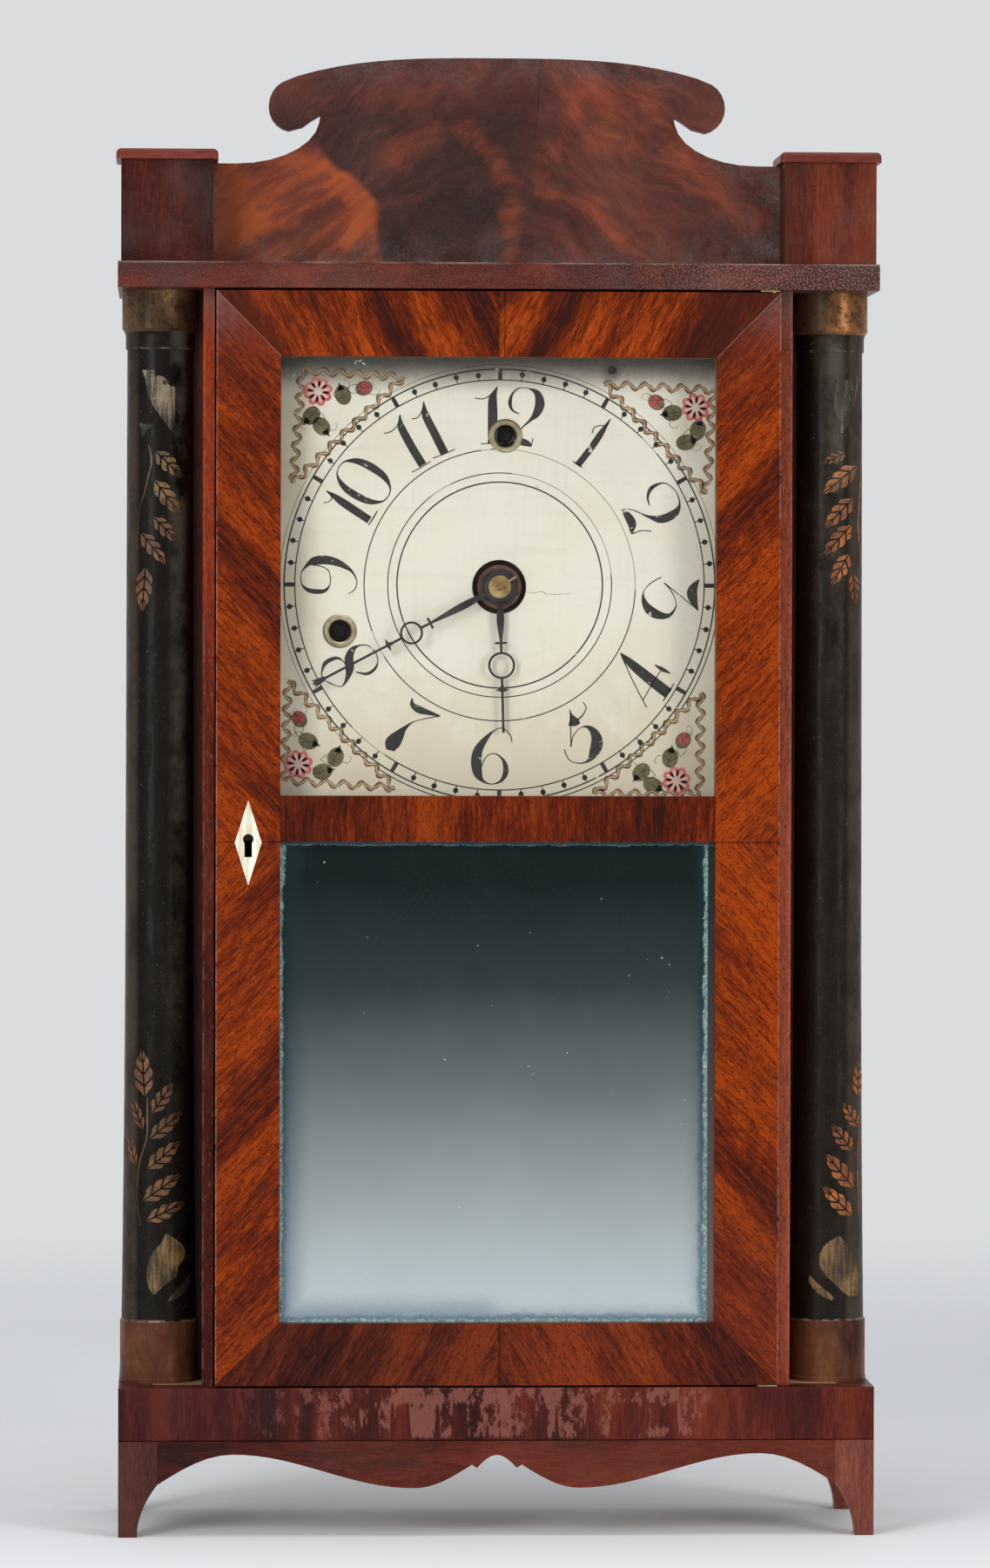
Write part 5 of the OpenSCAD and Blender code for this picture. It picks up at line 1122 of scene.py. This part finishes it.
# Each column's own spray, in millimetres across from its middle towards the door, and up
SPRAYS = {
    -1: {
        "leaves": [((-3.3, 637), (12.9, 621), 10.5), ((-3.8, 620), (12.3, 598.6), 11), ((-4.3, 598),
            (11.2, 582.5), 9), ((-11.5, 589), (3.5, 570), 9.5), ((-8.2, 569), (-10.3, 542), 10.5),
            ((-8.2, 255.5), (-10, 283.7), 12), ((-4.4, 246), (8.3, 264.5), 9.5), ((-5.8, 230.8),
            (13.8, 247.7), 9.5), ((-7.1, 213), (12.7, 230), 10.5), ((-9.9, 194.3), (13, 210.6), 11),
            ((-7.8, 182.7), (15.5, 194), 9.5), ((-9.2, 236), (-16.2, 256.5), 6.5), ((-13.5, 214),
            (-18, 236), 5)],
        "stems": [[(-6.6, 640), (-4.9, 631), (-6.6, 622), (-9.3, 611), (-11.6, 602), (-12.9, 590),
            (-13.2, 579)], [(-6.8, 256), (-6.8, 245), (-7.2, 232), (-11.3, 217), (-12.6, 203), (-12.2, 192),
            (-10.5, 180)]],
        "horn": [[(684, -10.4, -4), (679, -8.6, 3), (673.5, -7.8, 8.9), (668, -6.7, 8.8), (662.4, -3.9, 8.7),
            (657, 0, 8.7), (651.3, 4.1, 8.4), (647.8, 7, 7.4)], [(653, -11.8, -11.2), (651.6, -11.6, -2.8),
            (649, -10.9, -7.2), (644.6, -10.6, -10.2)]],
        "fruit": [[(175.2, 4, 5.4), (172, 2.4, 10.1), (169, 0.5, 13.6), (165, -3.4, 15.6),
            (160.8, -5.4, 15.4), (156.4, -6.4, 11.6), (150, -6.9, 10.6), (147, -6.8, 6), (143, -5.4, 1),
            (140, -3.6, -1.8)], [(150.5, 17.6, 18.4), (147, 14.6, 18.9), (143.5, 12, 18.2), (140, 8.2, 15.4),
            (137, 6, 10.4), (135.8, 5.3, 6.2)]],
        "haze": [],
    },
    1: {
        "leaves": [((-8.5, 637), (5.6, 630.6), 7), ((-15.8, 630), (5.5, 612.7), 11.5), ((-13.4, 611),
            (4.3, 592.6), 11), ((-12.2, 595), (4.8, 576.4), 10.5), ((-10.5, 578), (0.3, 558.6), 10.5),
            ((-13, 567), (-14.3, 547), 7), ((-17.1, 255), (-17.3, 277), 8), ((-17.5, 237),
            (-7.8, 252.6), 8.5), ((-13.8, 223.3), (-0.8, 239.5), 10), ((-14.7, 201), (2.6, 222.3), 11.5),
            ((-14, 184.5), (4.3, 203), 10.5)],
        "stems": [[(-18, 642), (-17.5, 620), (-15.9, 597), (-17, 581), (-18, 569)], [(-18, 240), (-16.9, 219),
            (-17.3, 199), (-17.6, 184)]],
        "horn": [[(682, -17.1, -14.2), (678, -16.2, -11.9), (672.8, -14.6, -10), (666.6, -13.6, -9),
            (660.4, -12.4, -7.9), (655.2, -10.4, -6.3), (651.6, -8.2, -5.3), (648.5, -5.8, -4.7)],
            [(678, -18.6, -17.4), (654.5, -18.8, -17.5)], [(653.2, -18.8, -12.6), (652.4, -18.8, -12.6)],
            [(650.8, -18.6, -13.6), (649, -18.2, -14.4), (645, -18.4, -17.4)]],
        "fruit": [[(173.5, -6, -4.4), (170, -9, 1), (167, -11, 4), (162, -13.6, 6.2), (156.6, -16.4, 6.4),
            (150, -18.4, 2.6), (145, -19.3, -3.2), (140, -19.4, -8), (137.5, -19.4, -12)], [(150, 11.2, 11.9),
            (146.5, 8.2, 12.2), (143, 4.4, 10.2), (139.5, -0.2, 7), (136.6, -2.4, 2.6), (135.6, -2, -0.6)]],
        "haze": [[(680, -13, -1.5), (674, -12.8, 0.6), (668, -12.2, 0.2), (662, -11.2, -0.9),
            (657, -10, -2.6), (653, -8.7, -3.9), (649, -6.9, -5.3)]],
    },
}
for side, tag, leaf_look in ((1, "right", gold_leaf), (-1, "left", dull_gold)):
    spray = SPRAYS[side]
    gold, pale, fruit, haze = (Sheet(on_column(side, lift)) for lift in (0.16, 0.16, 0.16, 0.12))
    for foot, tip, width in spray["leaves"]:
        veined_leaf(gold, foot, tip, width)
    for line in spray["stems"]:
        gold.stroke([(u, v, 0.5 + 0.35 * math.sin(i)) for i, (u, v) in enumerate(line)], steps=6)
    for sheet, outlines in ((pale, spray["horn"]), (fruit, spray["fruit"]), (haze, spray["haze"])):
        for outline in outlines:
            filled(sheet, outline)
    for name, sheet, look in (("haze", haze, horn_haze), ("leaves", gold, leaf_look), ("horn", pale, horn_gold),
                              ("fruit", fruit, fruit_gold)):
        if sheet.faces:
            sheet.build(f"stencil_{name}_{tag}", look, "black_paint")

# ---- Cords: two strands laid round each other, from the pulleys down to the weights ----
CORD_R, CORD_PITCH, CORD_SIDES = 0.001, 0.0055, 8


def laid_cord(name, top, foot, material):
    """Two strands that turn round each other from top to foot; each is a tube of its own."""
    top, foot = Vector(top), Vector(foot)
    length = (foot - top).length
    n = round(length / (CORD_PITCH / 10))
    down = (foot - top).normalized()
    side = down.cross(Vector((0, 1, 0.001))).normalized()
    up = down.cross(side)

    def around(turn, r):
        return (side * math.cos(turn) + up * math.sin(turn)) * r

    verts, faces = [], []
    for strand in (0, 1):
        base = len(verts)
        for i in range(n + 1):
            turn = 2 * math.pi * length * i / n / CORD_PITCH + math.pi * strand
            mid = top.lerp(foot, i / n) + around(turn, CORD_R * 0.46)
            verts += [mid + around(2 * math.pi * k / CORD_SIDES, CORD_R * 0.53) for k in range(CORD_SIDES)]
        for i in range(n):
            for k in range(CORD_SIDES):
                p, q = base + i * CORD_SIDES + k, base + i * CORD_SIDES + (k + 1) % CORD_SIDES
                faces.append((p, q, q + CORD_SIDES, p + CORD_SIDES))
        faces.append(list(range(base, base + CORD_SIDES))[::-1])
        faces.append(list(range(base + n * CORD_SIDES, base + (n + 1) * CORD_SIDES)))
    ob = add_mesh(name, verts, faces, material)
    for p in ob.data.polygons:
        p.use_smooth = True
    return ob


for tag in ("left", "right"):
    lo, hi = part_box("cord_drop_" + tag)
    mid = (lo + hi) / 2
    ends = (mid.x, mid.y, hi.z), (mid.x, mid.y, lo.z)
    cord = laid_cord("cord_" + tag, *ends, linen)
    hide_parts("cord_drop_" + tag)
    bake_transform(cord)

# ---- Edges: a slight round that catches the light on the case's plain boards ----
EDGE_ROUND = 0.0007
for name in ("splat", "plinth_blocks", "bracket_feet", "aprons", "door_stile_left", "door_stile_right",
             "door_rail_top", "door_rail_bottom", "door_rail_middle"):
    bev = nodes[name].modifiers.new("edge", "BEVEL")
    bev.width = EDGE_ROUND
    bev.segments = 2
    bev.limit_method = "ANGLE"
    bev.angle_limit = math.radians(50)
    bev.use_clamp_overlap = True

# ---- Stage: floor, background and soft lights ----
FLOOR_R, FLOOR_SIDES, FLOOR_Z = 4, 64, -0.0002


def floor_paper():
    """Pale paper that goes over into the background well away from the clock."""
    m = Mat("pale_paper")
    x, y, z = m.xyz
    m.put(m.bsdf, "Alpha", m.fade(m.sqrt(x * x + y * y), 0.7, 2.2))
    n = m.noise(3, 3)
    m.col = m.ramp(n, 0.3, (860, 870, 880), 0.7, (880, 890, 900))
    return m.finish(0.7 + n * 0.1)


rim = [polar((0, 0), FLOOR_R, math.pi / 2 - 2 * math.pi * i / FLOOR_SIDES, FLOOR_Z) for i in range(FLOOR_SIDES)]
floor = add_mesh("floor", rim, [list(range(FLOOR_SIDES))[::-1]], floor_paper())


def lamp(name, at, aim, size, power):
    data = bpy.data.lights.new(name, "AREA")
    data.shape = "RECTANGLE"
    data.size, data.size_y = size
    data.energy = power
    ob = bpy.data.objects.new(name, data)
    ob.location = at
    ob.rotation_euler = (Vector(aim) - Vector(at)).to_track_quat("-Z", "Y").to_euler()
    bpy.context.scene.collection.objects.link(ob)


lamp("key", (-1.45, -2.25, 1.15), (0, 0, 0.45), (0.9, 2.1), 40)
lamp("fill", (1.75, -2, 1.05), (0, 0, 0.45), (0.7, 2), 26)
lamp("top", (0, -0.3, 2.4), (0, 0, 0.4), (1.8, 1), 18)
AMBIENT, AMBIENT_STRENGTH, BACKGROUND = (920, 950, 1000), 0.42, (700, 715, 730)
world = bpy.data.worlds.new("studio")
bpy.context.scene.world = world
world.use_nodes = True
wt = world.node_tree
lit = wt.nodes["Background"]
lit.inputs[0].default_value = rgba(AMBIENT)
lit.inputs[1].default_value = AMBIENT_STRENGTH
seen = wt.nodes.new("ShaderNodeBackground")
seen.inputs[0].default_value = rgba(BACKGROUND)
rays = wt.nodes.new("ShaderNodeLightPath")
either = rays.outputs["Is Camera Ray"]
for kind in ("Is Glossy Ray", "Is Transmission Ray"):
    most = wt.nodes.new("ShaderNodeMath")
    most.operation = "MAXIMUM"
    wt.links.new(either, most.inputs[0])
    wt.links.new(rays.outputs[kind], most.inputs[1])
    either = most.outputs[0]
pick = wt.nodes.new("ShaderNodeMixShader")
for i, socket in enumerate((either, lit.outputs[0], seen.outputs[0])):
    wt.links.new(socket, pick.inputs[i])
wt.links.new(pick.outputs[0], wt.nodes["World Output"].inputs[0])

bpy.context.scene.view_settings.view_transform = "Standard"
